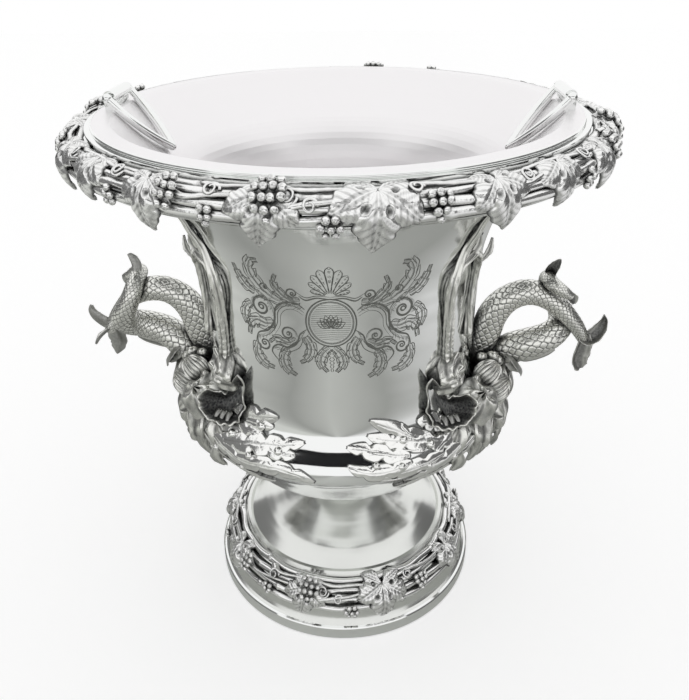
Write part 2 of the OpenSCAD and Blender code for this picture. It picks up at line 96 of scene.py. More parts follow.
# %% [markdown]
# ## The tent
# Silver has hardly any colour of its own: it shows what stands round it. A white world gives it the soft
# white of a tent. The camera, and rays that a mirror surface sends out, see that white at full strength,
# and everything else is lit at a plain level.

# %% World and floor
scene.view_settings.view_transform = "Standard"
world = bpy.data.worlds.new("tent")
scene.world = world
world.use_nodes = True
nodes, links = world.node_tree.nodes, world.node_tree.links
nodes.clear()
path = nodes.new("ShaderNodeLightPath")
seen = nodes.new("ShaderNodeMath"); seen.operation = "MAXIMUM"
links.new(path.outputs["Is Camera Ray"], seen.inputs[0])
links.new(path.outputs["Is Glossy Ray"], seen.inputs[1])
seen_too = nodes.new("ShaderNodeMath"); seen_too.operation = "MAXIMUM"
links.new(seen.outputs[0], seen_too.inputs[0])
links.new(path.outputs["Is Transmission Ray"], seen_too.inputs[1])
strength = nodes.new("ShaderNodeMapRange")
world_level = 0.75
strength.inputs["To Min"].default_value = world_level
strength.inputs["To Max"].default_value = 1.0
links.new(seen_too.outputs[0], strength.inputs["Value"])
background = nodes.new("ShaderNodeBackground")
background.inputs["Color"].default_value = (1, 1, 1, 1)
links.new(strength.outputs["Result"], background.inputs["Strength"])
links.new(background.outputs[0], nodes.new("ShaderNodeOutputWorld").inputs["Surface"])

def plain_card(name, centre, size, turn, colour, camera_sees=False):
    """A flat card of the tent. Cards that only the silver may mirror are hidden from the camera."""
    w, h = size[0] / 2, size[1] / 2
    mesh = bpy.data.meshes.new(name)
    mesh.from_pydata([(-w, -h, 0), (w, -h, 0), (w, h, 0), (-w, h, 0)], [], [(0, 1, 2, 3)])
    card = bpy.data.objects.new(name, mesh)
    card.matrix_world = Matrix.Translation(centre) @ Euler([radians(a) for a in turn]).to_matrix().to_4x4()
    material = bpy.data.materials.new(name)
    material.use_nodes = True
    shader = material.node_tree.nodes["Principled BSDF"]
    shader.inputs["Base Color"].default_value = (*colour, 1)
    shader.inputs["Roughness"].default_value = 0.9
    shader.inputs["Specular IOR Level"].default_value = 0.1
    mesh.materials.append(material)
    scene.collection.objects.link(card)
    if not camera_sees:
        card.visible_camera = card.visible_diffuse = card.visible_shadow = False
    return card, material

floor_grey = 0.74
_, floor_paint = plain_card("floor", (0, 0, -0.0004), (6, 6), (0, 0, 0), (floor_grey,) * 3, True)
tree = floor_paint.node_tree
is_camera = tree.nodes.new("ShaderNodeLightPath")
lift = tree.nodes.new("ShaderNodeMath"); lift.operation = "MULTIPLY"
lift.inputs[1].default_value = 1 - world_level * floor_grey
tree.links.new(is_camera.outputs["Is Camera Ray"], lift.inputs[0])
tree.nodes["Principled BSDF"].inputs["Emission Color"].default_value = (1, 1, 1, 1)
tree.links.new(lift.outputs[0], tree.nodes["Principled BSDF"].inputs["Emission Strength"])
plain_card("left_flag", (-0.95, 0.0, 0.36), (1.5, 0.72), (90, 0, 90), (0.30, 0.30, 0.30))
plain_card("right_flag", (0.95, 0.0, 0.36), (1.5, 0.72), (90, 0, 90), (0.22, 0.22, 0.22))
plain_card("camera_flag", (0, -0.72, 0.74), (1.3, 0.15), (48, 0, 0), (0.02, 0.02, 0.022))
# A card under the cooler that only the silver mirrors, painted light on the left and dark on the right:
# painted shade, the uneven light on the floor as the silver reflects it.
_, floor_shade_paint = plain_card("painted_floor_shade", (0, 0, 0.0004), (6, 6), (0, 0, 0), (0.6, 0.61, 0.58))
tree = floor_shade_paint.node_tree
spot = tree.nodes.new("ShaderNodeTexCoord")
apart = tree.nodes.new("ShaderNodeSeparateXYZ")
tree.links.new(spot.outputs["Object"], apart.inputs[0])
fall = tree.nodes.new("ShaderNodeValToRGB")
for at, tone in ((0.0, 0.86), (0.28, 0.84), (0.46, 0.70), (0.54, 0.64), (0.72, 0.47), (1.0, 0.44)):
    stop = fall.color_ramp.elements.new(at) if 0 < at < 1 else fall.color_ramp.elements[int(at)]
    stop.color = (tone * 0.985, tone, tone * 0.955, 1)
half_fall = 0.45
across = tree.nodes.new("ShaderNodeMapRange")
across.inputs["From Min"].default_value, across.inputs["From Max"].default_value = -half_fall, half_fall
tree.links.new(apart.outputs["X"], across.inputs["Value"])
tree.links.new(across.outputs["Result"], fall.inputs["Fac"])
tree.links.new(fall.outputs["Color"], tree.nodes["Principled BSDF"].inputs["Base Color"])
print("floor grey", floor_grey)

# %% [markdown]
# ## Polished silver
# The shell of the vase was hammered up, planished and polished by hand. The hammer leaves very
# broad, very shallow waves, which bend a reflection without breaking it, and rouge leaves hairlines all
# round. Both go into one node group that gives a roughness and a normal, so that every polished piece
# shares the effect with its own values. The group works in object space: each piece's origin is the
# cooler's own axis, so the hairlines can run round it.

# %% Node helpers
def add_node(tree, kind, values=None, **settings):
    """A new node with its settings and the values of its named inputs."""
    node = tree.nodes.new(kind)
    for key, value in settings.items():
        setattr(node, key, value)
    for key, value in (values or {}).items():
        if isinstance(value, bpy.types.NodeSocket):
            tree.links.new(value, node.inputs[key])
        else:
            node.inputs[key].default_value = value
    return node

def new_group(name, inputs, outputs):
    """A shader node group with float inputs {name: default} and outputs {name: socket type}."""
    group = bpy.data.node_groups.new(name, "ShaderNodeTree")
    for key, value in inputs.items():
        group.interface.new_socket(key, in_out="INPUT", socket_type="NodeSocketFloat").default_value = value
    for key, kind in outputs.items():
        group.interface.new_socket(key, in_out="OUTPUT", socket_type=kind)
    return group, group.nodes.new("NodeGroupInput"), group.nodes.new("NodeGroupOutput")

def place_group(tree, group, values):
    """The group in a material, with its own values."""
    node = tree.nodes.new("ShaderNodeGroup")
    node.node_tree = group
    for key, value in values.items():
        node.inputs[key].default_value = value
    return node

# %% Group: hand polish
polish, given, out = new_group("hand_polish",
    {"Roughness": 0.06, "Uneven": 0.04, "Wave": 0.3, "Wave Size": 40, "Hairline": 0.05},
    {"Roughness": "NodeSocketFloat", "Normal": "NodeSocketVector"})
place = add_node(polish, "ShaderNodeTexCoord")
waves = add_node(polish, "ShaderNodeTexNoise", {"Vector": place.outputs["Object"], "Detail": 1.0,
    "Scale": given.outputs["Wave Size"]})
hair_place = add_node(polish, "ShaderNodeMapping", {"Vector": place.outputs["Object"],
                                                    "Scale": (60, 60, 5200)})
hairs = add_node(polish, "ShaderNodeTexNoise", {"Vector": hair_place.outputs[0], "Scale": 1.0, "Detail": 3.0})
wave_bump = add_node(polish, "ShaderNodeBump", {"Strength": given.outputs["Wave"], "Distance": 0.002,
    "Height": waves.outputs["Fac"]})
hair_bump = add_node(polish, "ShaderNodeBump", {"Strength": given.outputs["Hairline"], "Distance": 0.0001,
    "Height": hairs.outputs["Fac"], "Normal": wave_bump.outputs[0]})
cloudy = add_node(polish, "ShaderNodeTexNoise", {"Vector": place.outputs["Object"], "Scale": 55.0,
                                                 "Detail": 5.0})
centred = add_node(polish, "ShaderNodeMath", {0: cloudy.outputs["Fac"], 1: 0.5}, operation="SUBTRACT")
spread = add_node(polish, "ShaderNodeMath", {0: centred.outputs[0], 1: given.outputs["Uneven"]},
                  operation="MULTIPLY")
rough = add_node(polish, "ShaderNodeMath", {0: given.outputs["Roughness"], 1: spread.outputs[0]},
                 operation="ADD")
polish.links.new(rough.outputs[0], out.inputs["Roughness"])
polish.links.new(hair_bump.outputs[0], out.inputs["Normal"])
print("group", polish.name)

# %% [markdown]
# ## Old cast silver
# The castings are bright where a hand or a cloth reaches and nearly black in the hollows. Part of that is
# real: the chaser's marks were darkened on purpose and the rest gathered there over two centuries. Part
# is painted shade, put into the colour where shade falls in grooves, under parts and between them. Two
# things say where the silver turns dark: a value that the modelling code leaves on each vertex, in carved
# grooves and on undersides, backs and edges, and ambient occlusion, which finds the places where one
# casting crowds another and paints shade there.

# %% Group: dark hollows and painted shade
hollows, given, out = new_group("dark_hollows", {"Reach": 0.006, "Depth": 1.0, "Grain": 900.0},
    {"Mask": "NodeSocketFloat", "Normal": "NodeSocketVector"})
carved_and_shaded = add_node(hollows, "ShaderNodeAttribute", attribute_name="hollow")
# Ambient occlusion paints shade into the colour where one casting crowds another.
crowded = add_node(hollows, "ShaderNodeAmbientOcclusion", {"Distance": given.outputs["Reach"]}, samples=6)
shade = add_node(hollows, "ShaderNodeMapRange", {"Value": crowded.outputs["AO"], "From Min": 0.25,
                                                 "From Max": 0.82,
    "To Min": 1.0, "To Max": 0.0})
both = add_node(hollows, "ShaderNodeMath", {0: carved_and_shaded.outputs["Fac"], 1: shade.outputs["Result"]},
                operation="MAXIMUM")
place = add_node(hollows, "ShaderNodeTexCoord")
grain = add_node(hollows, "ShaderNodeTexNoise", {"Vector": place.outputs["Object"],
                                                 "Scale": given.outputs["Grain"],
    "Detail": 4.0})
worn = add_node(hollows, "ShaderNodeMapRange", {"Value": grain.outputs["Fac"], "From Min": 0.3,
                                                "From Max": 0.7,
    "To Min": 0.75, "To Max": 1.0})
patchy = add_node(hollows, "ShaderNodeMath", {0: both.outputs[0], 1: worn.outputs["Result"]},
                  operation="MULTIPLY")
mask = add_node(hollows, "ShaderNodeMath", {0: patchy.outputs[0], 1: given.outputs["Depth"]},
                operation="MULTIPLY",
    use_clamp=True)
bump = add_node(hollows, "ShaderNodeBump", {"Strength": 0.35, "Distance": 0.0002,
                                            "Height": grain.outputs["Fac"]})
hollows.links.new(mask.outputs[0], out.inputs["Mask"])
hollows.links.new(bump.outputs[0], out.inputs["Normal"])
print("group", hollows.name)

# %% Silver materials
def bare_metal(name):
    """A new metal with its node tree and its shader."""
    material = bpy.data.materials.new(name)
    material.use_nodes = True
    tree = material.node_tree
    shader = tree.nodes["Principled BSDF"]
    shader.inputs["Metallic"].default_value = 1
    return material, tree, shader

def polished(name, colour, **values):
    """Bright silver, polished by hand."""
    material, tree, shader = bare_metal(name)
    shader.inputs["Base Color"].default_value = (*colour, 1)
    group = place_group(tree, polish, values)
    tree.links.new(group.outputs["Roughness"], shader.inputs["Roughness"])
    tree.links.new(group.outputs["Normal"], shader.inputs["Normal"])
    return material

def cast(name, bright, dark, roughness=0.16, **values):
    """Cast and chased silver whose hollows are darkened by real oxide and by painted shade."""
    material, tree, shader = bare_metal(name)
    group = place_group(tree, hollows, values)
    colour = add_node(tree, "ShaderNodeMix", data_type="RGBA")
    colour.inputs["A"].default_value = (*bright, 1)
    colour.inputs["B"].default_value = (*dark, 1)
    tree.links.new(group.outputs["Mask"], colour.inputs["Factor"])
    tree.links.new(colour.outputs["Result"], shader.inputs["Base Color"])
    rough = add_node(tree, "ShaderNodeMapRange", {"Value": group.outputs["Mask"], "To Min": roughness,
                                                  "To Max": 0.6})
    tree.links.new(rough.outputs["Result"], shader.inputs["Roughness"])
    tree.links.new(group.outputs["Normal"], shader.inputs["Normal"])
    return material

silver = (0.90, 0.91, 0.90)
shell_silver = polished("shell_silver", silver, Roughness=0.07)
# The foot is the same silver as the shell with a darker base colour: painted shade for the dimmer reflections
# of the foot.
shaded_foot_silver = polished("shaded_foot_silver", (0.77, 0.78, 0.755), Roughness=0.19, Uneven=0.06)
liner_silver = polished("liner_silver", (0.905, 0.89, 0.897), Roughness=0.36, Wave=0.2)
wire_silver = polished("wire_silver", silver, Roughness=0.09, Wave=0.0)
border_silver = cast("border_silver", (0.95, 0.95, 0.94), (0.03, 0.032, 0.03))
handle_silver = cast("handle_silver", (0.84, 0.84, 0.80), (0.025, 0.026, 0.03), roughness=0.20)
spray_silver = cast("spray_silver", (0.93, 0.93, 0.91), (0.03, 0.032, 0.03), roughness=0.10, Reach=0.003)
cut_silver = cast("cut_silver", (0.40, 0.41, 0.39), (0.22, 0.225, 0.21), roughness=0.45, Reach=0.001)
print("materials", len(bpy.data.materials))

# %% Give the spun pieces their polish
for name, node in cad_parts.items():
    if name == "liner":
        material = liner_silver
    elif name.startswith(("bail", "hinge", "liner_rim")):
        material = wire_silver
    elif name.startswith(("foot_rim", "foot_shell", "stem", "body", "rim_mount")):
        material = shell_silver
    else:
        material = border_silver if name.startswith(("rim", "foot", "spray")) else handle_silver
    node.data.materials.clear()
    node.data.materials.append(material)

# %% [markdown]
# ## Meshes from grids
# Nearly every casting here is a grid of points bent into shape: a tube is rings of points, and the lobe
# of a leaf is rows of points across its rib. One helper turns such grids into a mesh. It also leaves a
# value on each vertex that says how dark the cast silver turns there: in a carved groove that is real
# oxide and painted shade, and on undersides, backs and edges it is painted shade.

# %% Grid helpers
def grid_faces(rows, cols, round_cols=False):
    """Quads over a grid of rows by cols points. round_cols joins the last column to the first."""
    i, j = np.meshgrid(np.arange(rows - 1), np.arange(cols if round_cols else cols - 1), indexing="ij")
    a = i * cols + j
    b = i * cols + (j + 1) % cols
    return np.stack([a, b, b + cols, a + cols], axis=-1).reshape(-1, 4)

class Casting:
    """Collects the parts of one casting, in metres, and makes them one object."""
    def __init__(self):
        self.points, self.faces, self.hollow, self.count = [], [], [], 0

    def add(self, points, faces, hollow=0.0):
        points = np.asarray(points, float).reshape(-1, 3)
        self.points.append(points)
        self.faces += [np.asarray(f) + self.count for f in faces]
        self.hollow.append(np.broadcast_to(np.asarray(hollow, float).reshape(-1), (len(points),)))
        self.count += len(points)

    def add_tube(self, rings, hollow=0.0):
        """rings is (n, sides, 3). The ends are closed with a fan about their middle."""
        n, sides, _ = rings.shape
        points = np.concatenate([rings.reshape(-1, 3), [rings[0].mean(0), rings[-1].mean(0)]])
        k = np.arange(sides)
        m = (k + 1) % sides
        end = (n - 1) * sides
        fans = [np.stack([np.full(sides, n * sides), m, k], -1),
                np.stack([np.full(sides, n * sides + 1), end + k, end + m], -1)]
        value = np.zeros(len(points))
        value[:n * sides] = np.broadcast_to(hollow, (n, sides)).reshape(-1)
        self.add(points, [grid_faces(n, sides, True), *fans], value)

    def add_ring(self, rings, hollow=0.0):
        """A tube whose last ring meets its first."""
        n, sides, _ = rings.shape
        self.add(rings, [grid_faces(n + 1, sides, True) % (n * sides)],
                 np.broadcast_to(hollow, (n, sides)).reshape(-1))

    def add_plate(self, front, back, hollow=0.0):
        """Two grids of the same size, one behind the other, closed all round their edge."""
        rows, cols, _ = front.shape
        faces = grid_faces(rows, cols)
        n = rows * cols
        rim = np.concatenate([np.arange(cols), np.arange(1, rows) * cols + cols - 1,
                              n - 2 - np.arange(cols - 1), np.arange(rows - 2, 0, -1) * cols])
        after = np.roll(rim, -1)
        edge = np.stack([rim, after, after + n, rim + n], -1)
        # The back of every plate, and with it the back half of its edge, is marked 0.6: painted shade under
        # the plate.
        value = np.concatenate([np.broadcast_to(hollow, (rows, cols)).reshape(-1), np.full(n, 0.6)])
        self.add(np.concatenate([front.reshape(-1, 3), back.reshape(-1, 3)]),
                 [faces[:, ::-1], faces + n, edge], value)

    def make(self, name, material, body, *cad_nodes, slot="cast_silver"):
        faces = [f for f in self.faces if len(f)]
        sizes = np.concatenate([np.full(len(f), f.shape[1]) for f in faces])
        corners = np.concatenate([f.reshape(-1) for f in faces])
        mesh = bpy.data.meshes.new(name)
        mesh.vertices.add(self.count)
        mesh.vertices.foreach_set("co", np.concatenate(self.points).reshape(-1).astype(np.float32))
        mesh.loops.add(len(corners))
        mesh.loops.foreach_set("vertex_index", corners.astype(np.int32))
        mesh.polygons.add(len(sizes))
        mesh.polygons.foreach_set("loop_start", np.concatenate([[0], np.cumsum(sizes)[:-1]]).astype(np.int32))
        mesh.attributes.new("hollow", "FLOAT", "POINT").data.foreach_set(
            "value", np.clip(np.concatenate(self.hollow), 0, 1).astype(np.float32))
        mesh.update(calc_edges=True)
        mesh.validate()
        mesh.shade_smooth()
        mesh.materials.append(material)
        piece = bpy.data.objects.new(name, mesh)
        scene.collection.objects.link(piece)
        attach(piece, body)
        if cad_nodes:
            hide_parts(*cad_nodes)
        print(name, len(mesh.vertices), "points")
        return piece

# %% Lines and tubes
def smooth_line(points, steps):
    """A Catmull-Rom curve through rows of numbers, with that many steps between each two rows."""
    p = np.asarray(points, float)
    p = np.concatenate([p[:1], p, p[-1:]])
    t = np.linspace(0, 1, steps, endpoint=False)[:, None]
    rows = [0.5 * (2 * b + (c - a) * t + (2 * a - 5 * b + 4 * c - d) * t ** 2
                   + (3 * b - a - 3 * c + d) * t ** 3)
            for a, b, c, d in zip(p[:-3], p[1:-2], p[2:-1], p[3:])]
    return np.concatenate(rows + [p[-2:-1]])

def unit(v):
    return v / np.linalg.norm(v, axis=-1, keepdims=True)

def frames_along(line, side):
    """Tangent, side and up for each point of a line, carried along without twisting."""
    tangent = unit(np.gradient(line, axis=0))
    sides = []
    s = np.asarray(side, float)
    for t in tangent:
        s = unit(s - s.dot(t) * t)
        sides.append(s)
    sides = np.array(sides)
    return tangent, sides, np.cross(tangent, sides)

def run_of(line):
    """How far along a line each of its points lies."""
    return np.concatenate([[0], np.cumsum(np.linalg.norm(np.diff(line, axis=0), axis=1))])

def resampled(line, run, at):
    """The points of a line at new distances along it."""
    return np.stack([np.interp(at, run, column) for column in line.T], -1)

def ironed(values, reach):
    """A running mean over reach neighbours to each side that keeps the ends in place."""
    kernel = np.hanning(2 * reach + 3)[1:-1]
    padded = np.pad(values, reach, mode="reflect", reflect_type="odd")
    return np.convolve(padded, kernel / kernel.sum(), "valid")

def ball(r, polar, turn, radii=(1, 1, 1)):
    """A ball's grid of points, r from its middle, pulled to three radii."""
    across = r * np.sin(polar)
    return np.stack([across * np.cos(turn) * radii[0], across * np.sin(turn) * radii[1],
                     r * np.cos(polar) * radii[2] + 0 * turn], -1)

def tube(line, radius, side=(0, 0, 1), n=12, swell=1.0):
    """Rings round a line. radius is one number or one for each point, and swell may be (points, n)."""
    line = np.asarray(line, float)
    _, s, u = frames_along(line, side)
    a = np.linspace(0, tau, n, endpoint=False)
    radius = np.broadcast_to(radius, (len(line),))[:, None] * np.broadcast_to(swell, (len(line), n))
    return line[:, None] + radius[..., None] * (np.cos(a)[None, :, None] * s[:, None]
                                                + np.sin(a)[None, :, None] * u[:, None])

# %% [markdown]
# ## Spinning the shells again
# A mirror shows every flaw of its surface. In the construction model the shells are made of short
# cones, and a reflection breaks into steps where two cones meet. A spinner's burnisher takes such ridges
# out, and so does this cell: it reads the section of a shell from the construction model, draws a smooth
# curve through its points except at real corners, and spins it round the axis.

# %% Spun shells
def section_of(name):
    """The section of a turned piece as ordered rows of radius and height, in millimetres."""
    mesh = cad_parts[name].data
    flat = np.empty(3 * len(mesh.vertices))
    mesh.vertices.foreach_get("co", flat)
    flat = flat.reshape(-1, 3) / MM
    rz = np.stack([np.hypot(flat[:, 0], flat[:, 1]), flat[:, 2]], -1)
    places, order = [], np.empty(len(rz), int)
    for k, spot in enumerate(np.round(rz, 2)):
        for j, known_ in enumerate(places):
            if abs(known_[0] - spot[0]) + abs(known_[1] - spot[1]) < 0.07:
                order[k] = j
                break
        else:
            order[k] = len(places)
            places.append(spot)
    ends = np.empty(2 * len(mesh.edges), int)
    mesh.edges.foreach_get("vertices", ends)
    pairs, often = np.unique(np.sort(order[ends.reshape(-1, 2)], axis=1), axis=0, return_counts=True)
    often[pairs[:, 0] == pairs[:, 1]] = 0
    beside = {}
    for a, b in pairs[often > 0.25 * often.max()].tolist():
        beside.setdefault(a, []).append(b)
        beside.setdefault(b, []).append(a)
    tips = [k for k, v in beside.items() if len(v) == 1]
    walk, seen_ = [tips[0] if tips else next(iter(beside))], set()
    while True:
        seen_.add(walk[-1])
        onward = [k for k in beside[walk[-1]] if k not in seen_]
        if not onward:
            break
        walk.append(onward[0])
    section = np.array([places[k] for k in walk])
    after = np.roll(section, -1, axis=0)
    if (section[:, 0] * after[:, 1] - after[:, 0] * section[:, 1]).sum() < 0:
        section = section[::-1]
    print(name, "section of", len(section), "of", len(places), "points,", "open" if tips else "closed")
    return section, not tips

def rounded(section, closed, corner=26, step=1.0):
    """A smooth curve through a section that keeps its corners."""
    n = len(section)
    before, after = np.roll(section, 1, axis=0), np.roll(section, -1, axis=0)
    a, b = unit(section - before + 1e-9), unit(after - section + 1e-9)
    sharp = np.degrees(np.arccos(np.clip((a * b).sum(1), -1, 1))) > corner
    if not closed:
        sharp[0] = sharp[-1] = True
    out = []
    for k in range(n if closed else n - 1):
        p, q = section[k], section[(k + 1) % n]
        o = p if sharp[k] else section[k - 1]
        r = q if sharp[(k + 1) % n] else section[(k + 2) % n]
        length = np.linalg.norm(q - p)
        t = np.linspace(0, 1, max(1, int(length / step)), endpoint=False)[:, None]
        m0 = (q - o) / (length + np.linalg.norm(p - o)) * length
        m1 = (r - p) / (length + np.linalg.norm(r - q)) * length
        out.append(p * (2 * t ** 3 - 3 * t ** 2 + 1) + m0 * (t ** 3 - 2 * t ** 2 + t)
                   + q * (3 * t ** 2 - 2 * t ** 3) + m1 * (t ** 3 - t ** 2))
    if not closed:
        out.append(section[-1:])
    return np.concatenate(out)

def spun(name, node, material, sides=288):
    """A smooth spun piece in place of a turned one of the construction model."""
    section, closed = section_of(node)
    curve = rounded(section, closed) * MM
    turn = np.linspace(0, tau, sides, endpoint=False)
    rings = np.stack([curve[:, :1] * np.cos(turn), curve[:, :1] * np.sin(turn), curve[:, 1:] + 0 * turn], -1)
    piece = Casting()
    (piece.add_ring if closed else piece.add_tube)(rings)
    shell_ = piece.make(name, material, "vase", node, slot="polished_silver")
    shell_.data.set_sharp_from_angle(angle=radians(28))
    return curve / MM

body_curve = spun("spun_body", "body_shell", shell_silver)
spun("spun_foot", "foot_shell", shaded_foot_silver)
spun("turned_foot_rim", "foot_rim", shell_silver)
spun("turned_rim_mount", "rim_mount", shell_silver)
spun("turned_collar", "stem_collar", shell_silver)

# %% [markdown]
# ### Filed to the wall
# A casting that is soldered to the vase is first filed hollow at the back until it fits the wall. Here
# the points that would stand inside the vase are moved out into the thickness of its wall.

# %% Filing castings to the wall
def outside_radius(z):
    """Largest radius of the spun wall at a height in millimetres."""
    p, q = body_curve[:-1], body_curve[1:]
    cut = (p[:, 1] - z) * (q[:, 1] - z) < 0
    p, q = p[cut], q[cut]
    return float((p[:, 0] + (q[:, 0] - p[:, 0])
                  * (z - p[:, 1]) / (q[:, 1] - p[:, 1])).max()) if cut.any() else 0.0

trim_heights = np.arange(body_curve[:, 1].min() + 0.5, body_curve[:, 1].max(), 0.5)
trim_radii = np.array([outside_radius(z) for z in trim_heights])

def filed_to_wall(casting, bite=0.9):
    """No point of a casting reaches deeper than a bite into the wall that it is soldered to."""
    for k, points in enumerate(casting.points):
        across = np.hypot(points[:, 0], points[:, 1])
        least = (np.interp(points[:, 2] / MM, trim_heights, trim_radii, left=0, right=0) - bite) * MM
        grow = np.where((across < least) & (across > 0), least / np.maximum(across, 1e-6), 1.0)
        casting.points[k] = points * np.stack([grow, grow, np.ones_like(grow)], -1)

print("wall trims from", trim_heights[0].round(1), "to", trim_heights[-1].round(1), "mm")

# %% [markdown]
# ## The vine border
# The border on the rim and the border on the foot are cast from the same few models: a bundle of canes
# with knots, vine leaves, bunches of berries and wire-thin tendrils. The founder cast them flat, bent
# them to the curve and soldered them on. The code does the same. Each casting is modelled flat, with x
# round the border, y down it and z outwards, and a function bends it over the bundle.

# %% Bending castings over the bundle
class Band:
    """The outside of a bundle of canes: an arc in the plane of radius and height, then straight on."""
    def __init__(self, canes, arc_r, top, bottom, proud=1.0):
        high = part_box(canes)[1]
        self.arc_r, self.proud = arc_r, proud
        self.top, self.bottom = radians(top), radians(bottom)
        self.cane = 1.75 * MM
        reach = arc_r - self.cane
        self.mid_r = high.x - self.cane - reach * cos(max(self.bottom, 0))
        self.mid_z = high.z - self.cane - reach * sin(min(self.top, pi / 2))

    def bend(self, flat, azimuth):
        """Bends rows of x, y, z onto the border. Azimuth 0 is the front."""
        flat = np.asarray(flat, float)
        x, y, z = flat[..., 0], flat[..., 1], flat[..., 2]
        z = np.where(z > 0, self.proud * z, z)
        turn = self.top - y / self.arc_r
        held = np.clip(turn, self.bottom, self.top)
        past = (held - turn) * self.arc_r
        r = self.mid_r + (self.arc_r + z) * np.cos(held) + past * np.sin(held)
        h = self.mid_z + (self.arc_r + z) * np.sin(held) - past * np.cos(held)
        a = azimuth + x / (self.mid_r + self.arc_r * np.cos(held))
        return np.stack([r * np.sin(a), -r * np.cos(a), h], axis=-1)

    def length(self):
        return (self.top - self.bottom) * self.arc_r

rim_band = Band("rim_canes", 7.95 * MM, 100, -8, proud=0.60)
foot_band = Band("foot_canes", 19.55 * MM, 62, 7)
print("rim band", round(rim_band.mid_r / MM, 2), round(rim_band.mid_z / MM, 2), "foot band",
      round(foot_band.mid_r / MM, 2), round(foot_band.mid_z / MM, 2))

# %% [markdown]
# ### The leaves
# A vine leaf has five broad lobes that overlap a little at their edges. Each lobe is a sheet of its own
# here: puffed up on both sides of its rib, with finer ribs that run out to rounded teeth, and with its
# tip curled under. Where two lobes part the chaser drilled a hole, which is painted dark as an eye of
# shade. Raising one lobe a little over the next, with painted shade along each lobe's edge and beside
# its rib, gives the crisp dark line between them.

# %% A cast vine leaf
def lobe_sheet(length, width, rnd, rows=34, cols=27, teeth=4, puff=0.11, curl=0.14):
    """One lobe as rows along its rib, from the stalk at the origin to the tip at y = length."""
    v = np.linspace(0, 1, rows)[:, None]
    u = np.linspace(-1, 1, cols)[None, :]
    body = np.sin(pi * np.clip(v, 0, 1) ** 1.15) ** 0.62 * (1 - 0.28 * v)
    place = teeth * v + 0.25 * np.sign(u) + rnd.random()
    tooth = 1 - np.abs(2 * (place % 1) - 1) ** 1.6
    half = width * length * np.clip(body, 0.03, 1) * (1 + 0.16 * (tooth - 0.5) * (v > 0.22))
    x = u * half
    y = length * v + 0.10 * length * np.abs(u) ** 2 * (0.5 - v) * 2
    across = np.abs(u)
    rise = np.sin(pi * v ** 0.8) ** 0.8
    z = puff * length * (np.sin(pi * np.clip(across, 0, 1) ** 0.75) * 0.62 + 0.5 * (1 - across ** 2)) * rise
    side_rib = (v * 7.5 - 1.9 * across + 0.3) % 1
    groove = np.exp(-((side_rib - 0.5) / 0.13) ** 2) * (across > 0.06) * (1 - across ** 4) \
            * np.clip(6 * v - 0.6, 0, 1)
    fine = np.cos(tau * 3 * side_rib) * 0.5 + 0.5
    rib = np.exp(-(across / 0.07) ** 2) * (v < 0.97)
    z = z - 0.016 * length * groove - 0.004 * length * fine * (across > 0.08) + 0.012 * length * rib
    z = z - curl * length * np.clip((v - 0.62) / 0.38, 0, 1) ** 2 - 0.07 * length * across ** 4 * rise
    # Painted shade beside the rib and along the lobe's edge; the side ribs' grooves are darker with real
    # oxide and painted shade.
    beside = np.exp(-((across - 0.12) / 0.05) ** 2)
    dark = 0.55 * groove + 0.55 * beside * np.clip(4 * v, 0, 1) * (v < 0.9) + 0.06 * fine
    dark = np.maximum(dark, np.clip((across - 0.84) / 0.12, 0, 1))
    return np.stack([x, y, z + 0 * x], -1), np.clip(dark, 0, 1)

class Leaf:
    """One model of a leaf: the direction, length and height of each lobe over the next."""
    def __init__(self, seed, lobes, puff=0.11, curl=0.14):
        self.seed, self.lobes, self.puff, self.curl = seed, lobes, puff, curl

    def sheets(self, size):
        rnd = random.Random(self.seed)
        for direction, length, raised in self.lobes:
            sheet, dark = lobe_sheet(length, 0.41, rnd, puff=self.puff * (0.8 + 0.4 * rnd.random()),
                                     curl=self.curl)
            a = radians(direction)
            c, s = cos(a), sin(a)
            x, y, z = sheet[..., 0], sheet[..., 1], sheet[..., 2]
            reach = np.hypot(x, y)
            lift = raised * np.clip(reach * 3, 0, 1)
            placed = np.stack([c * x + s * y, c * y - s * x, z + lift], -1)
            for other, long_, _ in self.lobes:
                if 20 < abs(other - direction) < 80:
                    eye, at = radians((direction + other) / 2), 0.40 * min(length, long_)
                    hole = np.exp(-(np.hypot(placed[..., 0] - at * sin(eye),
                                             placed[..., 1] - at * cos(eye)) / 0.052) ** 4)
                    placed[..., 2] -= 0.10 * hole
                    # The eye is painted dark: painted shade in the drilled hole.
                    dark = np.maximum(dark, hole)
            yield size * placed, dark

    def onto(self, casting, place, drop=0.0, size=20 * MM, lean=0.0, lift=0.0, thick=0.7 * MM):
        """Adds a copy: place bends or moves a flat sheet, and the tip leans by an angle."""
        c, s = cos(lean), sin(lean)
        for sheet, dark in self.sheets(size):
            x, y, z = sheet[..., 0], sheet[..., 1], sheet[..., 2]
            turned = np.stack([c * x + s * y, c * y - s * x + drop, z + lift + thick], -1)
            casting.add_plate(place(turned), place(turned - (0, 0, thick)), dark)

wide = Leaf(3, [(-118, 0.62, 0.0), (118, 0.62, 0.01), (-59, 0.86, 0.035), (59, 0.86, 0.02), (0, 1.0, 0.06)])
long = Leaf(5, [(-112, 0.55, 0.01), (112, 0.55, 0.0), (-54, 0.8, 0.02), (54, 0.8, 0.04), (0, 1.05, 0.065)],
            puff=0.13)
lopsided = Leaf(8, [(-120, 0.52, 0.0), (106, 0.62, 0.02), (-62, 0.9, 0.045), (50, 0.76, 0.02),
                    (-4, 1.0, 0.06)], curl=0.2)
print("three leaf models")

# %% [markdown]
# ### Berries, canes and tendrils
# A berry is a small ball with the dimple that the chaser's ring punch left on its outer side. The canes
# are rods that swell and thin as they run, with a knot here and there, and thin shoots cross over them.
# A tendril is a wire that tapers and winds into a curl.

